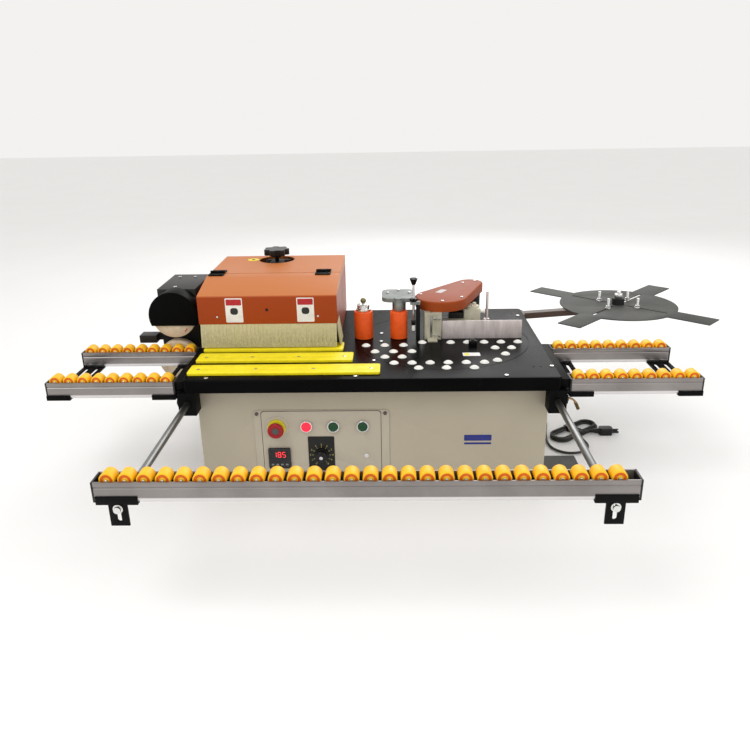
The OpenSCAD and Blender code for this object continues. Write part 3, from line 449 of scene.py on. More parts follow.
cutter_steel = brushed("cutter_steel", (0.5, 0.5, 0.52), (200, 200, 20), 0.22, 0.2)
bracket_cast = arm_casting()
glue_cast = cast("glue_cast", srgb(196, 192, 170), 0.5, 0.3)
slide_cast = cast("slide_cast", srgb(46, 46, 46), 0.6, 0.3)
black_plastic = moulded("black_plastic", srgb(10, 10, 10), 0.36)
grip_plastic = moulded("grip_plastic", srgb(9, 7, 7), 0.26, 700, 0.00012)
pad_white = moulded("pad_white", srgb(238, 238, 232), 0.3)
strip_yellow = moulded("strip_yellow", srgb(252, 232, 26), 0.4, 900)
roller_yellow = moulded("roller_yellow", srgb(255, 196, 30), 0.38, 1000)
roller_orange = moulded("roller_orange", srgb(226, 98, 18), 0.5)
stop_red = moulded("stop_red", srgb(150, 12, 22), 0.25)
stop_yellow = moulded("stop_yellow", srgb(214, 200, 30), 0.4)
lens_green = moulded("lens_green", srgb(6, 64, 30), 0.22)
cord_grey = moulded("cord_grey", srgb(50, 50, 46), 0.5, 1800, 0.0001)
sticker_white = moulded("sticker_white", srgb(232, 230, 230), 0.42)
sticker_red = moulded("sticker_red", srgb(178, 34, 44), 0.42)
sticker_yellow = moulded("sticker_yellow", srgb(240, 220, 30), 0.42)
sticker_blue = moulded("sticker_blue", srgb(34, 42, 120), 0.42)
sticker_dark = moulded("sticker_dark", srgb(40, 40, 42), 0.5)
scale_ink = moulded("scale_ink", srgb(190, 176, 92), 0.5)


def table_finish():
    """Glossy black enamel with hair scratches along the feed and pale specks of dust."""
    p = Paint("table_black", Specular_IOR_Level=0.025)
    hairs = p.levels(p.noise(14, 6, 0.75, p.stretched(1.2, 60, 1)), 0.62, 0.72)
    cloud = p.levels(p.noise(5, 5), 0.3, 0.72)
    specks = p.levels(p.noise(500, 2, 0.8), 0.68, 0.76) * 0.1
    base = p.mix(cloud, srgb(5, 5, 5), srgb(11, 11, 11))
    worn = p.mix(hairs * 0.12 + specks * 0.5, base, srgb(96, 94, 90))
    return p.give(colour=worn, roughness=0.22 + cloud * 0.12 + hairs * 0.12,
                  height=p.noise(1100, 2) + hairs * 0.4, depth=0.00008, strength=0.4)


def rail_finish(name, caps, floor_z, walls):
    """Anodised extrusion with a painted highlight along its bright lower edge and painted shade darkening
    the face above it; the channel floor between the walls is painted black as shade, with black caps
    between each pair of caps.
    """
    p = Paint(name)
    lines = p.noise(5, 4, 0.6, p.stretched(2.5, 300, 300))
    cloud = p.levels(p.noise(11, 4), 0.3, 0.7)
    away = abs(p.x)
    skin = 0.0
    for low, high in walls:
        skin = (p.y > low * MM) * (p.y < high * MM) + skin
    cap = 0.0
    for low, high in caps:
        cap = (away > low * MM) * (away < high * MM) + cap
    # painted shade: the channel floor between the walls is painted black for the shade among the rollers
    inside = (p.z > floor_z * MM) * (1 - skin)
    # painted highlight: the lowest band of the rail's face is bright for the light it catches
    highlight_z = floor_z - 13
    lip_highlight = p.levels(p.z, (highlight_z - 1) * MM, (highlight_z + 1) * MM)
    # painted shade: the face above that bright band is darkened for the shade on it
    shaded_web = p.mix(cloud, (0.24, 0.22, 0.215, 1), (0.31, 0.29, 0.28, 1))
    metal = p.mix(lip_highlight, (0.72, 0.7, 0.7, 1), shaded_web)
    return p.give(colour=p.mix(cap + inside, metal, srgb(10, 10, 10)), metallic=1 - cap,
                  roughness=0.34 + lines * 0.14 + cap * 0.06, height=lines, depth=0.00006,
                  strength=0.3)


def clip_finish(bolt_x, bolt_z, front):
    """Black clip whose washer and bolt head, in front of the tab, are bare steel."""
    p = Paint("clip_black", Specular_IOR_Level=0.1)
    dx, dz = abs(p.x) - bolt_x * MM, p.z - bolt_z * MM
    washer, tab_top = 9.4, 257.5
    bolt = ((dx * dx + dz * dz) < (washer * MM) ** 2) * (p.y < (front - 0.1) * MM)
    bolt = bolt * (p.z < tab_top * MM)
    worn = p.levels(p.noise(60, 5, 0.7), 0.62, 0.7) * 0.25
    base = p.mix(worn, srgb(8, 8, 8), srgb(48, 46, 44))
    return p.give(colour=p.mix(bolt, base, (0.72, 0.72, 0.7, 1)), metallic=bolt,
                  roughness=0.46 - bolt * 0.2, height=p.noise(900, 2), depth=0.0001)


def tray_finish(centre):
    """Dark sheet with a slight hammered skin; the pins are bright and the hub is black."""
    p = Paint("tray_grey", Specular_IOR_Level=0.15)
    raised = p.z > (TABLE + 0.2) * MM
    away, hub_radius = p.ring(centre[0] * MM, centre[1] * MM), 45
    pins, hub = raised * (away > hub_radius * MM), raised * (away < hub_radius * MM)
    skin = p.noise(240, 3, 0.6)
    base = p.mix(p.levels(p.noise(9, 4), 0.3, 0.7), srgb(66, 66, 64), srgb(84, 84, 80))
    colour = p.mix(hub, p.mix(pins, base, (0.8, 0.8, 0.79, 1)), srgb(24, 24, 24))
    return p.give(colour=colour, metallic=pins, roughness=0.55 - pins * 0.33 - hub * 0.2 + skin * 0.1,
                  height=skin, depth=0.0003, strength=0.4)


def rubber_finish():
    """Orange polyurethane ground on a lathe: fine rings and darker scuffs."""
    p = Paint("press_orange")
    rings = p.noise(5, 3, 0.6, p.stretched(2, 2, 700))
    scuffs = p.levels(p.noise(40, 5, 0.7), 0.45, 0.75)
    base = p.mix(scuffs, srgb(242, 92, 20), srgb(216, 72, 16))
    return p.give(colour=base, roughness=0.42 + rings * 0.15, height=rings, depth=0.00012)


def cloth_finish(centre_x, centre_z):
    """Stitched cloth wheel: rings of stitching and a soft fuzzy nap."""
    p = Paint("buff_cloth", Sheen_Weight=0.3)
    dx, dz = p.x - centre_x * MM, p.z - centre_z * MM
    away = (dx * dx + dz * dz) ** 0.5
    rings = (away * 900).sum("SINE")
    nap = p.noise(900, 4, 0.75)
    stain = p.levels(away, 0.025, 0.058)
    base = p.mix(p.levels(p.noise(60, 4), 0.3, 0.7), srgb(206, 188, 160), srgb(228, 214, 190))
    return p.give(colour=p.mix(stain * 0.45, base, srgb(168, 142, 112)), roughness=0.9,
                  height=nap + rings * 0.35, depth=0.0006, strength=0.7)


def bristle_finish():
    """Pale yellow bristles, each a little different, dusty towards their roots at the top."""
    p = Paint("bristle_straw")
    each = p.noise(40, 2, 0.6, p.stretched(22, 22, 0.25))
    low = p.levels(p.z, (TABLE + 8) * MM, (TABLE + 60) * MM)
    base = p.mix(p.levels(each, 0.35, 0.65), srgb(186, 178, 132), srgb(232, 226, 184))
    return p.give(colour=p.mix(low * 0.5, base, srgb(206, 198, 168)), roughness=0.45 + each * 0.2)


def copper_finish(tip_z):
    p = Paint("nozzle_copper", Metallic=0.9)
    stain = p.levels(p.noise(120, 5, 0.7), 0.4, 0.7)
    tip = p.z < tip_z * MM
    base = p.mix(stain, srgb(186, 148, 108), srgb(122, 88, 60))
    return p.give(colour=p.mix(tip, base, srgb(86, 72, 36)), roughness=0.34 + stain * 0.25,
                  height=stain, depth=0.0001)


def spindle_finish():
    """Turned steel with rings and a faint tarnish."""
    p = Paint("turned_steel", Metallic=1.0)
    rings = p.noise(5, 3, 0.6, p.stretched(3, 3, 900))
    stain = p.levels(p.noise(70, 4, 0.7), 0.5, 0.75)
    return p.give(colour=p.mix(stain, (0.78, 0.77, 0.76, 1), (0.5, 0.46, 0.42, 1)),
                  roughness=0.2 + rings * 0.12 + stain * 0.1, height=rings, depth=0.00008)


def screw_finish():
    """Bright screws on the table, blackened ones on the panel below it."""
    p = Paint("screw_steel", Metallic=1.0)
    blackened = p.z < table_low.z * MM
    stain = p.levels(p.noise(160, 4, 0.7), 0.4, 0.75)
    bright = p.mix(stain, (0.78, 0.78, 0.79, 1), (0.6, 0.58, 0.56, 1))
    return p.give(colour=p.mix(blackened, bright, (0.1, 0.09, 0.08, 1)),
                  roughness=0.2 + stain * 0.15, height=stain, depth=0.00005)


def brass_finish():
    p = Paint("ball_brass", Metallic=0.85)
    stain = p.levels(p.noise(220, 5, 0.7), 0.4, 0.7)
    return p.give(colour=p.mix(stain, srgb(140, 128, 84), srgb(92, 90, 62)),
                  roughness=0.3 + stain * 0.25, height=stain, depth=0.0001)


def lamp_finish(name, colour, light, power):
    """Coloured lens or digit that glows, a little unevenly."""
    p = Paint(name, Emission_Strength=power)
    cloud = p.levels(p.noise(240, 2), 0.2, 0.8)
    glow = p.mix(cloud, light, tuple(c * 0.8 for c in light[:3]) + (1,))
    return p.give(colour=colour, glow=glow, roughness=0.25 + cloud * 0.1)


def screen_finish():
    p = Paint("display_black")
    smear = p.levels(p.noise(50, 4), 0.4, 0.7)
    return p.give(colour=p.mix(smear, srgb(10, 10, 12), srgb(20, 20, 22)),
                  roughness=0.12 + smear * 0.2, height=p.noise(1200, 2), depth=0.00003)


# ---- camera, light and floor ---------------------------------------------------------

def set_camera():
    pitch, yaw, roll = (math.radians(a) for a in (20.95, -1.49, -1.01))
    ahead = Vector((math.sin(yaw) * math.cos(pitch), math.cos(yaw) * math.cos(pitch), -math.sin(pitch)))
    level = Vector((math.cos(yaw), -math.sin(yaw), 0))
    up = level.cross(ahead)
    side = level * math.cos(roll) + up * math.sin(roll)
    top = up * math.cos(roll) - level * math.sin(roll)
    data = bpy.data.cameras.new("camera")
    data.lens, data.sensor_width = 34.65, 36
    camera = bpy.data.objects.new("camera", data)
    turn = Matrix((side, top, -ahead)).transposed().to_4x4()
    camera.matrix_world = Matrix.Translation((0.051, -1.883, 0.927)) @ turn
    scene.collection.objects.link(camera)
    scene.camera = camera


def lamp(name, where, towards, size, power):
    data = bpy.data.lights.new(name, "AREA")
    data.shape, data.size, data.energy = "DISK", size, power
    light = bpy.data.objects.new(name, data)
    light.location = where
    aim = Vector(towards) - Vector(where)
    light.rotation_euler = aim.to_track_quat("-Z", "Y").to_euler()
    scene.collection.objects.link(light)


set_camera()
world = bpy.data.worlds.new("studio")
world.use_nodes = True
world.node_tree.nodes["Background"].inputs["Color"].default_value = (1, 0.985, 0.965, 1)
world.node_tree.nodes["Background"].inputs["Strength"].default_value = 0.9
scene.world = world
lamp("key", (-1.2, -1.6, 2.6), (0, 0, 0.2), 1.6, 26)
lamp("fill", (2.2, -1.8, 1.6), (0, 0, 0.2), 2.0, 12)
lamp("rear", (0.7, 2.4, 1.9), (0.2, 0.1, 0.3), 2.2, 30)

begin()
bpy.ops.mesh.primitive_plane_add(size=24, location=(0, 0, -0.0006))
floor = bpy.context.object
floor.name = "floor"
floor_paint = Paint("floor_pale")
floor.data.materials.append(floor_paint.give(
    colour=floor_paint.mix(floor_paint.noise(3), (0.86, 0.855, 0.85, 1), (0.9, 0.895, 0.89, 1)),
    roughness=0.8))


# ---- power lead ----------------------------------------------------------------------

CORD = 7.0
ROUTE = [
    (390, 297, 60), (390, 310, 60), (391, 325, 56), (394, 339, 46), (399, 352, 32),
    (406, 364, 18), (417, 373, 8), (432, 377, 4), (449, 373, 4), (464, 360, 4),
    (475, 338, 4), (484, 310, 4), (493, 275, 4), (502, 240, 4), (510, 205, 4),
    (515, 172, 4), (516, 140, 4), (512, 108, 4), (505, 76, 4), (498, 44, 4),
    (493, 12, 4), (491, -20, 4), (495, -49, 4), (508, -72, 4), (530, -86, 4),
    (555, -87, 4), (577, -78, 4), (593, -61, 4), (600, -39, 4), (599, -24, 4),
    (596, -9, 4), (594, 6, 4), (596, 22, 4),
]
HANK = Vector((583, 52, 0))
HANK_TURN = math.radians(39)


def hank_path():
    """Three turns of the spare length: two lanes on the floor, the third on top of them."""
    half, lanes, low, high = 59.5, (28.0, 20.9), 3.6, 10.7
    path = []

    def run(u0, u1, v0, v1, z0, z1, count=12):
        for k in range(count):
            t = k / count
            ease = t * t * (3 - 2 * t)
            path.append((u0 + (u1 - u0) * t, v0 + (v1 - v0) * ease, z0 + (z1 - z0) * ease))

    def bend(side, r0, r1, z0, z1, count=14):
        for k in range(count):
            t = k / count
            a = math.pi * t + (-math.pi / 2 if side > 0 else math.pi / 2)
            r = r0 + (r1 - r0) * t
            path.append((side * half + r * math.cos(a), r * math.sin(a), z0 + (z1 - z0) * t))

    outer, inner = lanes
    run(5, half, -outer, -outer, low, low, 6)
    bend(1, outer, outer, low, low)
    run(half, -half, outer, outer, low, low)
    bend(-1, outer, outer, low, low)
    run(-half, 5, -outer, -inner, low, low, 8)
    run(5, half, -inner, -inner, low, low, 6)
    bend(1, inner, inner, low, low)
    run(half, -half, inner, inner, low, 7)
    bend(-1, inner, inner, 7, high)
    run(-half, half, -inner, -inner, high, high)
    bend(1, inner, 24.5, high, high)
    run(half, -half, 24.5, outer, high, high)
    bend(-1, outer, outer, high, high)
    run(-half, 6, -outer, -27.6, high, high, 7)
    for k in range(7):
        a = math.radians(39) * k / 6
        path.append((6 + 30 * math.sin(a), -27.6 - 30 * (1 - math.cos(a)), high - 0.7 * (k / 6) ** 2))
    turn = Matrix.Rotation(HANK_TURN, 3, "Z")
    return [tuple(turn @ Vector(p) + HANK) for p in path]


def smooth_line(points, steps):
    """Points closer together on a curve through all of them."""
    points = [Vector(p) for p in points]
    line = []
    for k in range(len(points) - 1):
        p, q = points[max(k - 1, 0)], points[k]
        r, s = points[k + 1], points[min(k + 2, len(points) - 1)]
        for j in range(steps):
            t = j / steps
            line.append(0.5 * (2 * q + (r - p) * t + (2 * p - 5 * q + 4 * r - s) * t * t
                               + (3 * q - p - 3 * r + s) * t ** 3))
    return line + [points[-1]]


def lead_curve():
    line = smooth_line(ROUTE + hank_path(), 3)
    data = bpy.data.curves.new("power_lead", "CURVE")
    data.dimensions = "3D"
    spline = data.splines.new("POLY")
    spline.points.add(len(line) - 1)
    for point, spot in zip(spline.points, line):
        point.co = (*(spot * MM), 1)
    data.bevel_depth = CORD / 2 * MM
    data.bevel_resolution = 3
    data.use_fill_caps = True
    lead = bpy.data.objects.new("power_lead", data)
    scene.collection.objects.link(lead)
    lead.data.materials.append(cord_grey)
    length = sum((b - a).length for a, b in zip(line, line[1:])) * MM
    return lead, length


lead, lead_length = lead_curve()
print("lead length", round(lead_length, 4))
plug = rounded("power_plug", "plug_body", 1.6, 3)
place(plug, "machine", black_plastic, "black_plastic", ["power_plug"])
gland = rounded("cable_gland", "lead_gland", 0.8)
place(gland, "machine", black_plastic, "black_plastic", ["cable_gland"])
tie = block("hank_tie", (-9, -32.3, 0.2), (9, 32.3, 15.4))
bevel(tie, lambda a, b: abs(a.x - b.x) > 1, 3, 3)
recess(tie, lambda c, n: abs(n.z) > 0.9 and c.z > 10, 1.4, 0.5)
tie.data.transform(Matrix.Translation(HANK * MM) @ Matrix.Rotation(HANK_TURN, 4, "Z"))
place(tie, "machine", black_plastic, "black_plastic")
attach(lead, "machine")
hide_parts("power_cord", "cord_hank")


# ---- table ---------------------------------------------------------------------------

def build_table():
    table = block("table_plate", (LEFT, FRONT, table_low.z), (RIGHT, BACK, TABLE))
    bevel(table, lambda a, b: abs(a.z - b.z) > 10, 12, 5)
    bevel(table, lambda a, b: a.z > TABLE - 1 and b.z > TABLE - 1, 4.5, 4)
    pick(table, "FACE", lambda c, n: n.z < -0.9)
    bpy.ops.mesh.inset(thickness=3 * MM, depth=0)
    push((0, 0, 25))
    close()
    plate, radius, gap = (185, -5, TABLE), 232.8, 1.6
    seam = drum("seam_tool", plate, radius + gap, 2.4, sides=160)
    cut(seam, drum("core_tool", plate, radius, 4, sides=160))
    cut(table, seam)
    holes = [(395, -225), (412, -225), (-49, -244), (-66, -244), (1, 234), (16, 272), (415, 240),
             (-20, 268), (120, 250), (137, 250)]
    tool = copies(drum("hole_model", (0, 0, TABLE), 2.4, 6, sides=16), [(x, y, 0) for x, y in holes],
                  "hole_tool")
    cut(table, tool)
    place(table, "machine", table_finish(), "table_enamel", ["table_top"], 20)


build_table()
strips = rounded("guide_strips", "glide_strips", 1.1, 3)
place(strips, "machine", strip_yellow, "strip_plastic", ["guide_strips"])
pads = rounded("slide_pads", "glide_pads", 0.4, 2, 50)
place(pads, "machine", pad_white, "pad_plastic", ["slide_pads"])
heads = rounded("screws", "screw_heads", 0.5, 2, 50)
place(heads, "machine", screw_finish(), "bright_steel", ["screws"])
label = block("table_label", (232, -142, TABLE + 0.02), (276, -117, TABLE + 0.4))
bevel(label, lambda a, b: abs(a.z - b.z) > 0.1, 2, 2)
place(label, "machine", sticker_white, "pad_plastic")
label_mark = block("table_label_mark", (236, -138, TABLE + 0.3), (248, -121, TABLE + 0.55))
bevel(label_mark, lambda a, b: abs(a.z - b.z) > 0.1, 1.5, 2)
place(label_mark, "machine", sticker_yellow, "strip_plastic")


# ---- cabinet and controls ------------------------------------------------------------

shell = rounded("cabinet_shell", "cabinet_walls", 0.8, 3)
place(shell, "machine", cabinet_cream, "cabinet_paint", ["cabinet_shell"])
base = rounded("base_plate", "base_sheet", 0.5)
place(base, "machine", sheet_grey, "dark_sheet", ["base_plate"])
inner = rounded("control_box", "control_tray", 1.5)
place(inner, "machine", sheet_grey, "dark_sheet", ["control_box"])
face = rounded("control_panel", "panel_face", 0.5)
place(face, "machine", panel_cream, "panel_paint", ["control_panel"])
FACE = span("control_panel")[0].y


def ring_finish():
    """Bright rings; the stop button's wide plate is painted as the panel."""
    p = Paint("ring_steel")
    low, high = span("estop_button")
    dx, dz = p.x - (low.x + high.x) / 2 * MM, p.z - (low.z + high.z) / 2 * MM
    radius = 31.5
    plate = (dx * dx + dz * dz) < (radius * MM) ** 2
    lines = p.noise(5, 4, 0.6, p.stretched(200, 20, 200))
    tone = p.mix(lines, (0.62, 0.62, 0.62, 1), (0.8, 0.8, 0.8, 1))
    return p.give(colour=p.mix(plate, tone, srgb(176, 167, 150)), metallic=1 - plate,
                  roughness=0.22 + plate * 0.2 + lines * 0.1, height=lines, depth=0.00004)


rings = rounded("button_bezels", "button_rings", 0.6, 3)
place(rings, "machine", ring_finish(), "bright_steel", ["button_bezels"])


def build_panel_outline():
    """Dark edge of the raised plate on the panel."""
    low, high = span("control_panel")
    rim = block("plate_outline", (low.x + 17.8, FACE + 0.55, low.z + 3.8),
                (high.x - 19.8, FACE + 1.2, high.z - 1.8))
    bevel(rim, lambda a, b: abs(a.y - b.y) > 0.2, 8, 5)
    for x, z in ((-238, 167), (-164, 170), (-97, 170), (-24, 170)):
        cut(rim, drum("way", (x, FACE, z), 15.6, 12, "Y", 48))
    for x, z, w, h in ((-235, 83, 28.4, 28.4), (-129, 92, 31, 48)):
        cut(rim, block("way", (x - w, FACE - 6, z - h), (x + w, FACE + 6, z + h)))
    place(rim, "machine", semi_black, "black_paint")


build_panel_outline()


def build_stop():
    low, high = span("estop_button")
    x, z, top = (low.x + high.x) / 2, (low.z + high.z) / 2, low.y
    collar = drum("stop_collar", (x, FACE - 4.2, z), 22.5, 8, "Y", 64)
    soften(collar, 1.8, 3)
    place(collar, "machine", stop_yellow, "strip_plastic")
    head = drum("stop_head", (x, top + 7.5, z), 20, 9, "Y", 64)
    bevel(head, lambda a, b: a.y < top + 4 and b.y < top + 4, 3.5, 5)
    bevel(head, lambda a, b: a.y > top + 11 and b.y > top + 11, 2, 3)
    recess(head, lambda c, n: n.y < -0.999, 5, 1)
    stem = soften(drum("stop_stem", (x, (top + high.y) / 2 + 6, z), 9.5, high.y - top - 12, "Y", 32), 0.6)
    head = join("stop_head", [head, stem])
    place(head, "estop_button", stop_red, "red_plastic", ["estop_button"])
    middle = drum("stop_insert", (x, top + 3.7, z), 8.6, 1.6, "Y", 40)
    soften(middle, 0.4)
    place(middle, "estop_button", sheet_grey, "dark_sheet")


build_stop()
lit_red = lamp_finish("lens_red", srgb(220, 20, 44), srgb(255, 26, 56), 0.9)
for node, paint, slot in (("red_button", lit_red, "lamp_red"),
                          ("green_button_left", lens_green, "green_plastic"),
                          ("green_button_right", lens_green, "green_plastic")):
    lens = rounded(node, node.replace("button", "lens"), 1.4, 4, 50)
    place(lens, node, paint, slot, [node])


def build_display():
    low, high = span("display_unit")
    x, z = (low.x + high.x) / 2, (low.z + high.z) / 2
    case = rounded("display_unit", "display_case", 0.7)
    place(case, "machine", screen_finish(), "display_plastic", ["display_unit"])
    glass = low.y + 1.2
    bars = []
    shown = {"1": "bc", "8": "abcdefg", "5": "acdfg"}
    for k, digit in enumerate("185"):
        cx, cz = x - 11.5 + 11.5 * k, z + 11
        parts = {"a": (0, 7, 6, 1.6), "b": (3.4, 3.5, 1.6, 6), "c": (3.4, -3.5, 1.6, 6),
                 "d": (0, -7, 6, 1.6), "e": (-3.4, -3.5, 1.6, 6), "f": (-3.4, 3.5, 1.6, 6),
                 "g": (0, 0, 6, 1.6)}
        for key in shown[digit]:
            dx, dz, w, h = parts[key]
            bars.append(block("bar", (cx + dx - w / 2, glass - 0.4, cz + dz - h / 2),
                              (cx + dx + w / 2, glass, cz + dz + h / 2)))
    digits = soften(join("display_digits", bars), 0.3, 1)
    place(digits, "machine", lamp_finish("digit_red", srgb(200, 20, 30), srgb(255, 60, 70), 1.6),
          "lamp_red")
    keys = [soften(block("key", (x + 12 * k - 3.4, low.y - 0.2, z - 18.4),
                         (x + 12 * k + 3.4, low.y + 0.6, z - 13.6)), 0.5)
            for k in (-1.5, -0.5, 0.5, 1.5)]
    place(join("display_keys", keys), "machine", moulded("key_grey", srgb(120, 120, 118), 0.5),
          "pad_plastic")


build_display()


def build_dial():
    low, high = span("dial_plate")
    plate = rounded("dial_plate", "dial_scale", 0.5)
    place(plate, "machine", black_plastic, "black_plastic", ["dial_plate"])
    knob_low, knob_high = span("dial_knob")
    x, z = (knob_low.x + knob_high.x) / 2, (knob_low.z + knob_high.z) / 2
    marks = []
    for k in range(11):
        turn = math.radians(240 - 30 * k)
        mark = soften(block("mark", (20, -0.45, -0.2), (24.5, 0.45, 0.2)), 0.1, 1)
        mark.data.transform(Matrix.Rotation(math.pi / 2, 4, "X") @ Matrix.Rotation(turn, 4, "Z"))
        mark.data.transform(Matrix.Translation(Vector((x, low.y - 0.1, z)) * MM))
        marks.append(mark)
        begin()
        bpy.ops.object.text_add(location=(0, 0, 0))
        number = bpy.context.object
        number.data.body, number.data.size = str(k), 6.4 * MM
        number.data.align_x = number.data.align_y = "CENTER"
        number.data.extrude = 0.12 * MM
        bpy.ops.object.convert(target="MESH")
        number = bpy.context.object
        far = Vector((x + 28.6 * math.cos(turn), low.y - 0.1, z + 28.6 * math.sin(turn)))
        number.data.transform(Matrix.Translation(far * MM) @ Matrix.Rotation(math.pi / 2, 4, "X"))
        marks.append(number)
    ink = join("dial_marks", marks)
    place(ink, "machine", scale_ink, "strip_plastic")
    knob = drum("dial_grip", (x, low.y - 9, z), 15, 15, "Y", 40)
    bevel(knob, lambda a, b: a.y < low.y - 16 and b.y < low.y - 16, 1.5, 3)
    skirt = soften(drum("dial_skirt", (x, low.y - 2.6, z), 17, 3, "Y", 48), 0.6)
    bar = soften(block("dial_bar", (x - 2.2, knob_low.y, z - 13), (x + 2.2, low.y - 15, z + 13)), 0.8)
    stem = soften(drum("dial_stem", (x, (low.y + high.y) / 2 - 1, z), 3, high.y - low.y, "Y", 24), 0.4)
    place(join("dial_grip", [knob, skirt, bar, stem]), "dial_knob", grip_plastic, "black_plastic",
          ["dial_knob"])
    cap = soften(drum("dial_cap", (x, knob_low.y + 0.1, z), 4.6, 1.2, "Y", 32), 0.4)
    place(cap, "dial_knob", bright_steel, "bright_steel")


build_dial()
for name, low_z, high_z in (("maker_bar_upper", 126, 142), ("maker_bar_lower", 116, 121)):
    bar = block(name, (228, FACE + 2.5, low_z), (296, FACE + 3.2, high_z))
    bevel(bar, lambda a, b: abs(a.y - b.y) > 0.2, 2, 3)
    recess(bar, lambda c, n: n.y < -0.9, 1.2, 0.15)
    place(bar, "machine", sticker_blue, "display_plastic")


# ---- glue and press unit -------------------------------------------------------------

fence = rounded("fence", "guide_fence", 0.7, 3)
place(fence, "machine", stainless, "stainless", ["fence"])
knob = rounded("fence_knob", "fence_grip", 1.6, 3)
place(knob, "fence_knob", grip_plastic, "black_plastic", ["fence_knob"])
spindles = rounded("roller_spindles", "press_spindles", 0.5)
place(spindles, "machine", spindle_finish(), "bright_steel", ["roller_spindles"])
left_low, left_high = span("press_roller_left")
tip = ball("spindle_ball", ((left_low.x + left_high.x) / 2, (left_low.y + left_high.y) / 2,
                            left_high.z + 28.6), 7.7)
pick(tip, "FACE", lambda c, n: n.z < -0.9)
push((0, 0, -1.6))
close()
place(tip, "machine", brass_finish(), "copper")
press_orange = rubber_finish()
for side in ("left", "right"):
    node = f"press_roller_{side}"
    roller = rounded(node, f"press_tyre_{side}", 1.8, 3, 50)
    place(roller, node, press_orange, "press_rubber", [node])
arm = rounded("roller_bracket", "cast_arm", 2.2, 3)
place(arm, "machine", bracket_cast, "casting", ["roller_bracket"])


def build_arm_details():
    low, high = span("press_roller_right")
    x, y = (low.x + high.x) / 2, (low.y + high.y) / 2
    top, under = span("roller_bracket")[1].z, TABLE + 99
    hollow = soften(drum("arm_boss", (x, y, top - 1.6), 13, 2.4, sides=40), 0.6)
    sleeve = soften(drum("arm_sleeve", (x, y, (high.z + under) / 2 + 2), 12.5, under - high.z - 4), 1)
    bolts = [soften(drum("arm_bolt", (x + dx, y + dy, under + 12), 4.4, 5, sides=6), 0.4)
             for dx, dy in ((-30, 60), (30, 60), (0, 88))]
    place(join("arm_collars", [hollow, sleeve]), "machine", bracket_cast, "casting")
    place(join("arm_bolts", bolts), "machine", bright_steel, "bright_steel")


build_arm_details()


def build_adjuster():
    low, high = span("adjust_screw")
    x, y = (low.x + high.x) / 2, (low.y + high.y) / 2
    bar = drum("adjust_bar", (x, y, (low.z + high.z - 8) / 2), 3, high.z - 8 - low.z, sides=24)
    soften(bar, 0.6)
    thread = [drum("turn", (x, y, TABLE + 72 + 2.2 * k), 3.7, 1.1, sides=20) for k in range(34)]
    for ring in thread:
        bevel(ring, lambda a, b: True, 0.4, 1)
    place(join("adjust_thread", [bar] + thread), "adjust_screw", bright_steel, "bright_steel")
    grip = drum("adjust_grip", (x, y, high.z - 9), 4.6, 18, sides=40, tip=11.4)
    soften(grip, 1.2, 3)
    recess(grip, lambda c, n: n.z > 0.999, 2, 1.6)
    star = [drum("lobe", (x + 7 * math.cos(a), y + 7 * math.sin(a), TABLE + 111.5), 3.6, 8, sides=20)
            for a in (math.tau * k / 6 for k in range(6))]
    star.append(drum("hub", (x, y, TABLE + 111.5), 7, 9, sides=32))
    star.append(drum("collar", (x, y, TABLE + 48), 6, 14, sides=32))
    for part in star:
        soften(part, 0.9)
    place(join("adjust_grip", [grip] + star), "adjust_screw", grip_plastic, "black_plastic",
          ["adjust_screw"])
    sleeve = soften(drum("adjust_sleeve", (x, y, TABLE + 33), 4.6, 17, sides=32), 0.8)
    place(sleeve, "adjust_screw", pad_white, "pad_plastic")


build_adjuster()
glue = rounded("glue_unit", "glue_head", 1.0, 2, 40)
place(glue, "machine", glue_cast, "glue_casting", ["glue_unit"])
wheel = rounded("glue_roller", "glue_wheel", 0.6)
place(wheel, "glue_roller", cutter_steel, "stainless", ["glue_roller"])


def build_glue_details():
    low, high = span("glue_unit")
    heads = []
    for x, z in ((166, TABLE + 60), (178, TABLE + 60), (166, TABLE + 12), (178, TABLE + 12)):
        head = soften(drum("cap_screw", (x, low.y + 20.5, z), 3.4, 4, "Y", 24), 0.5)
        heads.append(recess(head, lambda c, n: n.y < -0.95, 1.4, 1.6))
    lid_x, lid_y, round_lid = 274, 85, 13
    pot = [soften(drum("lid_nut", (lid_x + round_lid * math.cos(a), lid_y + round_lid * math.sin(a),
                                   TABLE + 73), 2.6, 4, sides=6), 0.3) for a in (0.6, 2.7, 4.8)]
    place(join("glue_screws", heads + pot), "machine", bright_steel, "bright_steel")
    hose = soften(drum("pot_fitting", (300, 70, TABLE + 58), 5.6, 16, "X", 6), 0.6)
    collar = soften(drum("pot_collar", (308, 70, TABLE + 58), 7, 4, "X", 24), 0.6)
    place(join("pot_fitting", [hose, collar]), "machine", pad_white, "pad_plastic")


build_glue_details()
cover = rounded("belt_cover", "belt_hood", 0, angle=30)
bevel(cover, lambda a, b: a.z > COVER_EDGE and b.z > COVER_EDGE, 4.5, 4)
place(cover, "machine", cover_orange, "orange_paint", ["belt_cover"])


def build_cover_details():
    top = span("belt_cover")[1].z
    heads = [recess(soften(drum("cover_screw", (x, y, top + 0.8), 4.2, 2.4, sides=28), 0.7),
                    lambda c, n: n.z > 0.95, 1.7, 0.8)
             for x, y in ((188, 22), (132, 96), (262, 226), (244, 62), (300, 250))]
    place(join("cover_screws", heads), "machine", bright_steel, "bright_steel")
    label = block("cover_label", (-20, -9, 0), (20, 9, 0.4))
    bevel(label, lambda a, b: abs(a.z - b.z) > 0.1, 2, 2)
    label.data.transform(Matrix.Translation(Vector((192, 128, top + 0.02)) * MM)
                         @ Matrix.Rotation(math.radians(58), 4, "Z"))
    place(label, "machine", moulded("label_silver", srgb(178, 172, 166), 0.3), "pad_plastic")


build_cover_details()


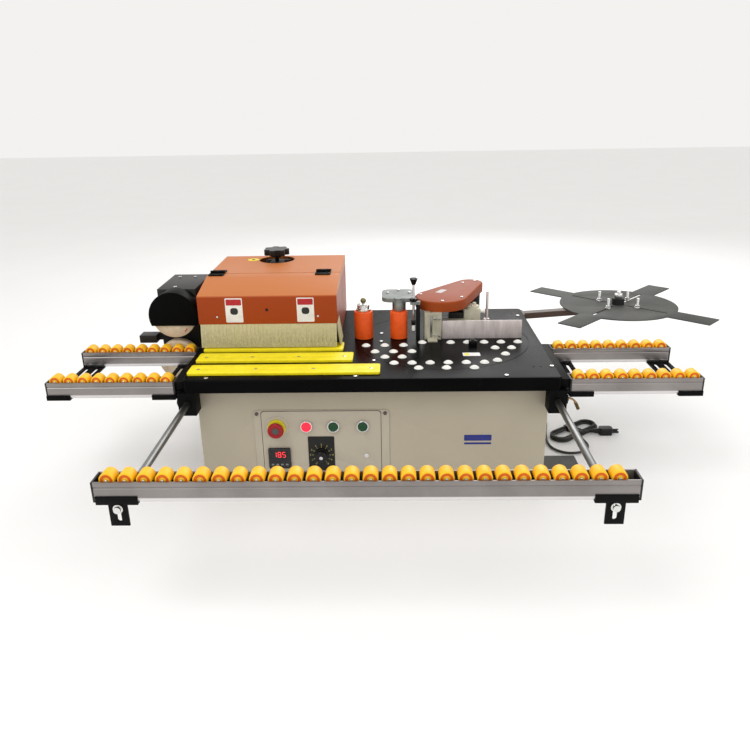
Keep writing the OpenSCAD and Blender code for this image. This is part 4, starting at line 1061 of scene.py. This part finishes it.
def build_motor():
    motor = rounded("feed_motor", "drive_motor", 1.2)
    fins = [soften(drum("fin", (284, 236, TABLE + 6 + 5.2 * k), 31.6, 1.8, sides=64), 0.4)
            for k in range(12)]
    place(join("drive_motor", [motor] + fins), "machine", motor_black, "black_paint", ["feed_motor"])


build_motor()


# ---- trimming hood -------------------------------------------------------------------

hood = rounded("hood_body", "hood_case", 0.7, 3)
place(hood, "machine", hood_orange, "orange_paint", ["hood_body"], 8)


def build_flap():
    low, high = span("hood_flap")
    face, tall, slope, ledge = low.y + 2.5, 75, 124, 31
    begin()
    bpy.ops.mesh.primitive_plane_add(size=1, rotation=(math.pi / 2, 0, 0), location=(
        (low.x + high.x) / 2 * MM, face * MM, (HOOD_EDGE - tall / 2) * MM))
    bpy.context.object.scale = ((high.x - low.x) * MM, tall * MM, 1)
    flap = settle("hood_front")
    pick(flap, "EDGE", lambda a, b: a.z > HOOD_EDGE - 5 and b.z > HOOD_EDGE - 5)
    push((0, slope, HOOD_TOP - HOOD_EDGE))
    push((0, ledge, 0))
    close()
    bevel(flap, lambda a, b: abs(a.z - HOOD_EDGE) < 1 and abs(b.z - HOOD_EDGE) < 1, 5, 5)
    bevel(flap, lambda a, b: abs(a.y - face - slope) < 1 and abs(b.y - face - slope) < 1, 9, 3)
    hold(flap)
    bpy.ops.object.mode_set(mode="EDIT")
    bpy.ops.mesh.select_all(action="SELECT")
    bpy.ops.mesh.normals_make_consistent(inside=False)
    close()
    if flap.data.polygons[0].normal.y > 0:
        flap.data.flip_normals()
    modify(flap, "SOLIDIFY", thickness=2 * MM, offset=-1)
    soften(flap, 0.6, 2, 60)
    lock_x, lock_z = -275, TABLE + 108
    cut(flap, drum("lock_tool", (lock_x, face, lock_z), 4.2, 10, "Y", 32))
    place(flap, "flap", hood_orange, "orange_paint", ["hood_flap"], 12)
    heads = [recess(soften(drum("flap_screw", (x, face - 0.8, TABLE + 90), 3.0, 2.4, "Y", 32), 0.7, 3),
                    lambda c, n: n.y < -0.999, 1.3, 0.7) for x in (low.x + 50, high.x - 50)]
    place(join("flap_screws", heads), "flap", bright_steel, "bright_steel")
    lock = soften(drum("flap_lock", (lock_x, face + 1.6, lock_z), 3.8, 2, "Y", 24), 0.4)
    place(lock, "flap", black_plastic, "black_plastic")
    for k, x in enumerate((-360.5, -174)):
        for name, half, z0, z1, out, corner, paint, slot in (
                ("flap_label", 22.5, 75, 140, (-0.35, 0.1), (2.5, 3), sticker_white, "pad_plastic"),
                ("flap_label_band", 20, 121, 137, (-0.6, -0.2), (2, 3), sticker_red, "red_plastic"),
                ("flap_label_mark", 10, 96, 114, (-0.6, -0.2), (7, 4), sticker_dark, "black_plastic")):
            label = block(f"{name}_{k}", (x - half, face + out[0], TABLE + z0),
                          (x + half, face + out[1], TABLE + z1))
            bevel(label, lambda a, b: abs(a.y - b.y) > 0.1, *corner)
            place(label, "flap", paint, slot)
    hinge_y, hinge_z = low.y + 158, span("hood_hinges")[1].z - 4
    leaves = []
    for x in (low.x + 24, high.x - 46):
        leaf = block("leaf", (x - 21, hinge_y - 30, HOOD_TOP + 0.1), (x + 21, hinge_y - 4.6, HOOD_TOP + 3))
        bevel(leaf, lambda a, b: abs(a.z - b.z) > 1 and a.y < hinge_y - 20, 4, 3)
        tongue = block("tongue", (x - 6.4, hinge_y - 6, HOOD_TOP + 0.1),
                       (x + 6.4, hinge_y - 0.8, HOOD_TOP + 3))
        knuckle = drum("knuckle", (x, hinge_y, hinge_z), 3.9, 12.8, "X", 32)
        leaves += [soften(part, 0.5) for part in (leaf, tongue, knuckle)]
        leaves += [soften(drum("rivet", (x + dx, hinge_y - 17, HOOD_TOP + 3.4), 3.2, 1.6, sides=20), 0.5)
                   for dx in (-12, 12)]
    place(join("flap_leaves", leaves), "flap", semi_black, "black_paint")


build_flap()
back_leaves = rounded("hood_hinges", "back_leaves", 0.5)
place(back_leaves, "machine", semi_black, "black_paint", ["hood_hinges"])
DOT_X, DOT_Y = -364, 262
dot = soften(drum("hood_sticker", (DOT_X, DOT_Y, HOOD_TOP + 0.2), 17, 0.5, sides=48), 0.1, 1)
place(dot, "machine", sticker_yellow, "strip_plastic")
dot_mark = soften(drum("hood_sticker_mark", (DOT_X, DOT_Y, HOOD_TOP + 0.55), 6, 0.4, sides=6), 0.1, 1)
place(dot_mark, "machine", sticker_dark, "black_plastic")


def bristles(name, along, start, count, low, high, line, splay, turned=False):
    """A curtain: one tuft of bristles that lean outwards by splay, repeated along a line."""
    pitch = along / count
    tuft = []
    for row in range(3):
        for k in range(10):
            lean = (-math.atan(splay / (high - low)) + random.uniform(-0.012, 0.012),
                    random.uniform(-0.012, 0.012))
            x = pitch * (k + 0.5 + 0.33 * row + random.uniform(-0.15, 0.15)) / 10
            length = high - low - random.uniform(0, 1.6)
            hair = drum("hair", (0, 0, -length / 2), 0.36, length, sides=4, tip=0.62)
            hair.data.transform(Matrix.Translation(Vector((x, 1.3 + 1.5 * row, high)) * MM)
                                @ Matrix.Rotation(lean[0], 4, "X") @ Matrix.Rotation(lean[1], 4, "Y"))
            tuft.append(hair)
    model = join("tuft", tuft)
    turn = Matrix.Rotation(math.pi / 2, 4, "Z") if turned else Matrix()
    spots = []
    for k in range(count):
        where = (line, start + pitch * k, 0) if turned else (start + pitch * k, line, 0)
        spots.append(Matrix.Translation(Vector(where) * MM) @ turn)
    return copies(model, spots, name)


straw = bristle_finish()
curtain_low, curtain_high = span("front_curtain")
front_hairs = bristles("front_bristles", curtain_high.x - curtain_low.x, curtain_low.x, 34,
                       curtain_low.z, curtain_high.z, curtain_low.y + 0.3, 13)
place(front_hairs, "flap", straw, "bristles", ["front_curtain"])
curtain_low, curtain_high = span("side_curtain")
side_hairs = bristles("side_bristles", curtain_high.y - curtain_low.y, curtain_low.y, 7,
                      curtain_low.z, curtain_high.z, curtain_high.x, 11, True)
place(side_hairs, "machine", straw, "bristles", ["side_curtain"])

star = rounded("height_knob", "star_grip", 3.2, 4, 50)
place(star, "height_knob", grip_plastic, "black_plastic", ["height_knob"])
star_low, star_high = span("height_knob")
STAR = (star_low + star_high) / 2
cap = drum("star_cap", (STAR.x, STAR.y, star_high.z - 1.3), 12, 2.4, sides=40)
soften(cap, 0.8, 3)
place(cap, "height_knob", semi_black, "black_paint")
for node, name, body, paint, slot in (
        ("trim_column", "slide_column", "machine", slide_cast, "casting"),
        ("upper_trimmer", "upper_carriage", "upper_trimmer", slide_cast, "casting"),
        ("lower_trimmer", "lower_motor", "machine", slide_cast, "casting"),
        ("upper_cutter", "upper_mill", "upper_cutter", cutter_steel, "cutter_steel"),
        ("lower_cutter", "lower_mill", "lower_cutter", cutter_steel, "cutter_steel")):
    place(rounded(node, name, 0.8), body, paint, slot, [node])


# ---- buffing unit --------------------------------------------------------------------

housing = rounded("buff_housing", "buff_case", 1.8, 3)
place(housing, "machine", housing_grey, "dark_sheet", ["buff_housing"])
guard = rounded("buff_guard", "buff_drum", 0.8, 3, 40)
place(guard, "machine", guard_black, "black_paint", ["buff_guard"])


def build_buff(node):
    low, high = span(node)
    x, z, radius = (low.x + high.x) / 2, (low.z + high.z) / 2, (high.x - low.x) / 2
    discs = []
    plies, apart = 12, 2.6
    for k in range(plies):
        ragged = radius - random.uniform(0.1, 1.3)
        disc = drum("ply", (x, low.y + 1.4 + apart * k, z), ragged, 2.3, "Y", 72)
        discs.append(bevel(disc, lambda a, b: abs(a.y - b.y) < 0.1, 0.8, 2))
    pressed = drum("flange", (x, low.y + 0.9, z), 19, 1.4, "Y", 48)
    discs.append(soften(pressed, 0.4))
    place(join(f"{node}_plies", discs), node, cloth_finish(x, z), "buff_cloth", [node])
    shaft = drum("shaft", (x, (low.y + high.y) / 2 + 16, z), 6, high.y - low.y - 34, "Y", 32)
    soften(shaft, 0.6)
    flange = soften(drum("hub", (x, low.y + 34.6, z), 15, 5.4, "Y", 40), 0.6)
    place(join(f"{node}_shaft", [shaft, flange]), node, bright_steel, "bright_steel")


build_buff("upper_buff_wheel")
build_buff("lower_buff_wheel")
wheel_low, wheel_high = span("upper_buff_wheel")
mark = block("wheel_mark", (-1.4, -0.35, -6), (1.4, 0, 6))
soften(mark, 0.5, 2)
mark_at = Vector(((wheel_low.x + wheel_high.x) / 2 + 30, wheel_low.y + 0.1, wheel_low.z + 21))
mark.data.transform(Matrix.Translation(mark_at * MM) @ Matrix.Rotation(math.radians(35), 4, "Y"))
place(mark, "upper_buff_wheel", sticker_red, "red_plastic")
case_low, case_high = span("buff_housing")
bolts = [soften(drum("case_bolt", (x, y, case_high.z + 0.9), 5, 2.6, sides=24), 0.8, 3)
         for x, y in ((-546, 50), (-520, 170), (-565, 170))]
place(join("case_bolts", bolts), "machine", bright_steel, "bright_steel")


# ---- roller supports -----------------------------------------------------------------

def roller_model():
    barrel = drum("barrel", (0, 0, 0), 14, 28, "Y", 28)
    bevel(barrel, lambda a, b: abs(a.y - b.y) < 1, 1.3, 2)
    recess(barrel, lambda c, n: abs(n.y) > 0.95, 1.2, 1.0)
    ends = drum("ends", (0, 0, 0), 11.2, 27.2, "Y", 24)
    bevel(ends, lambda a, b: abs(a.y - b.y) < 1, 0.8, 1)
    recess(ends, lambda c, n: abs(n.y) > 0.95, 4, 0.8)
    axle = drum("axle", (0, 0, 0), 2.5, 33.6, "Y", 10)
    bevel(axle, lambda a, b: abs(a.y - b.y) < 1, 0.4, 1)
    return barrel, ends, axle


def build_rollers(prefix, body, spots, node):
    barrel, ends, axle = roller_model()
    place(copies(barrel, spots, f"{prefix}_barrels"), body, roller_yellow, "roller_plastic", [node], 30)
    place(copies(ends, spots, f"{prefix}_wheel_faces"), body, roller_orange, "press_rubber", (), 30)
    place(copies(axle, spots, f"{prefix}_axles"), body, bright_steel, "bright_steel", (), 40)


PITCH, FRONT_COUNT, WING_COUNT = 33.5, 28, 9
ROW_LEFT = 6.0
RAIL_W, WALL, WING_LONG = 42.0, 4.0, 313.0
rail_low, rail_high = span("front_rail")
rail_y = (rail_low.y + rail_high.y) / 2
row = [(PITCH * (k - (FRONT_COUNT - 1) / 2) - ROW_LEFT, rail_y, rail_high.z) for k in range(FRONT_COUNT)]
build_rollers("front", "front_support", row, "front_rollers")
wing_low, wing_high = span("wing_rails")
start = wing_high.x - WING_LONG
spots = []
for y in (wing_low.y + RAIL_W / 2, wing_high.y - RAIL_W / 2):
    for side in (-1, 1):
        spots += [(side * (start + WING_LONG / 2 + PITCH * (k - (WING_COUNT - 1) / 2)), y, wing_high.z)
                  for k in range(WING_COUNT)]
build_rollers("wing", "machine", spots, "wing_rollers")


def walls(*lows):
    """Y spans of both walls of each rail whose front face is at the given place."""
    return [(y + side - 0.1, y + side + WALL + 0.1) for y in lows for side in (0, RAIL_W - WALL)]


CAP, CHANNEL_FLOOR = 4.0, 21.5
front_metal = rail_finish("front_extrusion", [(rail_high.x - CAP, rail_high.x + 1)],
                          rail_low.z + CHANNEL_FLOOR, walls(rail_low.y))
wing_metal = rail_finish("wing_extrusion", [(wing_high.x - CAP, wing_high.x + 1), (start - 1, start + CAP)],
                         wing_low.z + CHANNEL_FLOOR, walls(wing_low.y, wing_high.y - RAIL_W))
channel = rounded("front_rail", "front_channel", 0.5)
place(channel, "front_support", front_metal, "extrusion", ["front_rail"])
channels = rounded("wing_rails", "wing_channels", 0.5)
place(channels, "machine", wing_metal, "extrusion", ["wing_rails"])
rod_low, rod_high = span("support_rods")
place(rounded("rail_clips", "end_clips", 0.9), "front_support",
      clip_finish(RIGHT - 8, (rod_low.z + rod_high.z) / 2, rail_low.y), "black_paint", ["rail_clips"])
place(rounded("support_rods", "carrier_rods", 1.0, 2, 50), "front_support", rod_chrome, "bright_steel",
      ["support_rods"])
clamps = rounded("rod_clamps", "clamp_blocks", 2.0, 3, 50)
place(clamps, "machine", semi_black, "black_paint", ["rod_clamps"])
plates = rounded("wing_brackets", "wing_plates", 0.7)
place(plates, "machine", semi_black, "black_paint", ["wing_brackets"])


def build_clamp_knob(node, side):
    low, high = span(node)
    y, z = (low.y + high.y) / 2, (low.z + high.z) / 2
    outer = high.x if side > 0 else low.x
    x0 = outer - side * 2.9
    grip = soften(drum("grip", (x0, y, z), 10.4, 5.4, "X", 32), 1)
    lobes = [soften(drum("lobe", (x0, y + 9.2 * math.cos(a), z + 9.2 * math.sin(a)), 3.6, 5.4, "X", 16), 1)
             for a in (math.tau * k / 6 for k in range(6))]
    stem = drum("stem", ((low.x + high.x) / 2 - side * 2, y, z), 4, high.x - low.x - 5, "X", 24)
    soften(stem, 0.5)
    grip = join(node.replace("knob", "grip"), [grip, stem] + lobes)
    place(grip, node, grip_plastic, "black_plastic", [node])
    cap = soften(drum("cap", (outer - side * 0.6, y, z), 4.5, 1.0, "X", 6), 0.2, 1)
    cap.name = node.replace("knob", "cap")
    place(cap, node, bright_steel, "bright_steel")


build_clamp_knob("rod_knob_left", -1)
build_clamp_knob("rod_knob_right", 1)
nozzle_low, nozzle_high = span("air_nozzle")
place(rounded("air_nozzle", "blow_tube", 0.5), "machine", copper_finish(nozzle_low.z + 19), "copper",
      ["air_nozzle"])


# ---- tape tray -----------------------------------------------------------------------

tray_low, tray_high = span("tape_tray")
TRAY = (tray_low + tray_high) / 2
place(rounded("tape_tray", "tape_disc", 0.5), "tape_tray", tray_finish(TRAY), "dark_sheet", ["tape_tray"])


def arm_finish():
    p = Paint("arm_brown")
    nut = p.z > (TABLE + 20.2) * MM
    worn = p.levels(p.noise(70, 5, 0.7), 0.6, 0.7) * 0.3
    base = p.mix(worn, srgb(60, 38, 24), srgb(96, 70, 50))
    return p.give(colour=p.mix(nut, base, (0.75, 0.75, 0.74, 1)), metallic=nut,
                  roughness=0.45 - nut * 0.25, height=p.noise(900, 2), depth=0.0001)


place(rounded("tray_arm", "tray_bar", 0.8), "machine", arm_finish(), "brown_paint", ["tray_arm"])
PIN_CIRCLE, FIRST_PIN = 64.0, 47
nuts = []
for k in range(4):
    a = math.radians(FIRST_PIN + 90 * k)
    x, y = TRAY.x + PIN_CIRCLE * math.cos(a), TRAY.y + PIN_CIRCLE * math.sin(a)
    nuts.append(soften(drum("pin_nut", (x, y, TABLE + 5.5), 7.4, 5, sides=6), 0.5))
    nuts.append(soften(drum("pin_tip", (x, y, TABLE + 29.2), 4.8, 2, sides=24), 0.5))
place(join("pin_nuts", nuts), "tape_tray", bright_steel, "bright_steel")
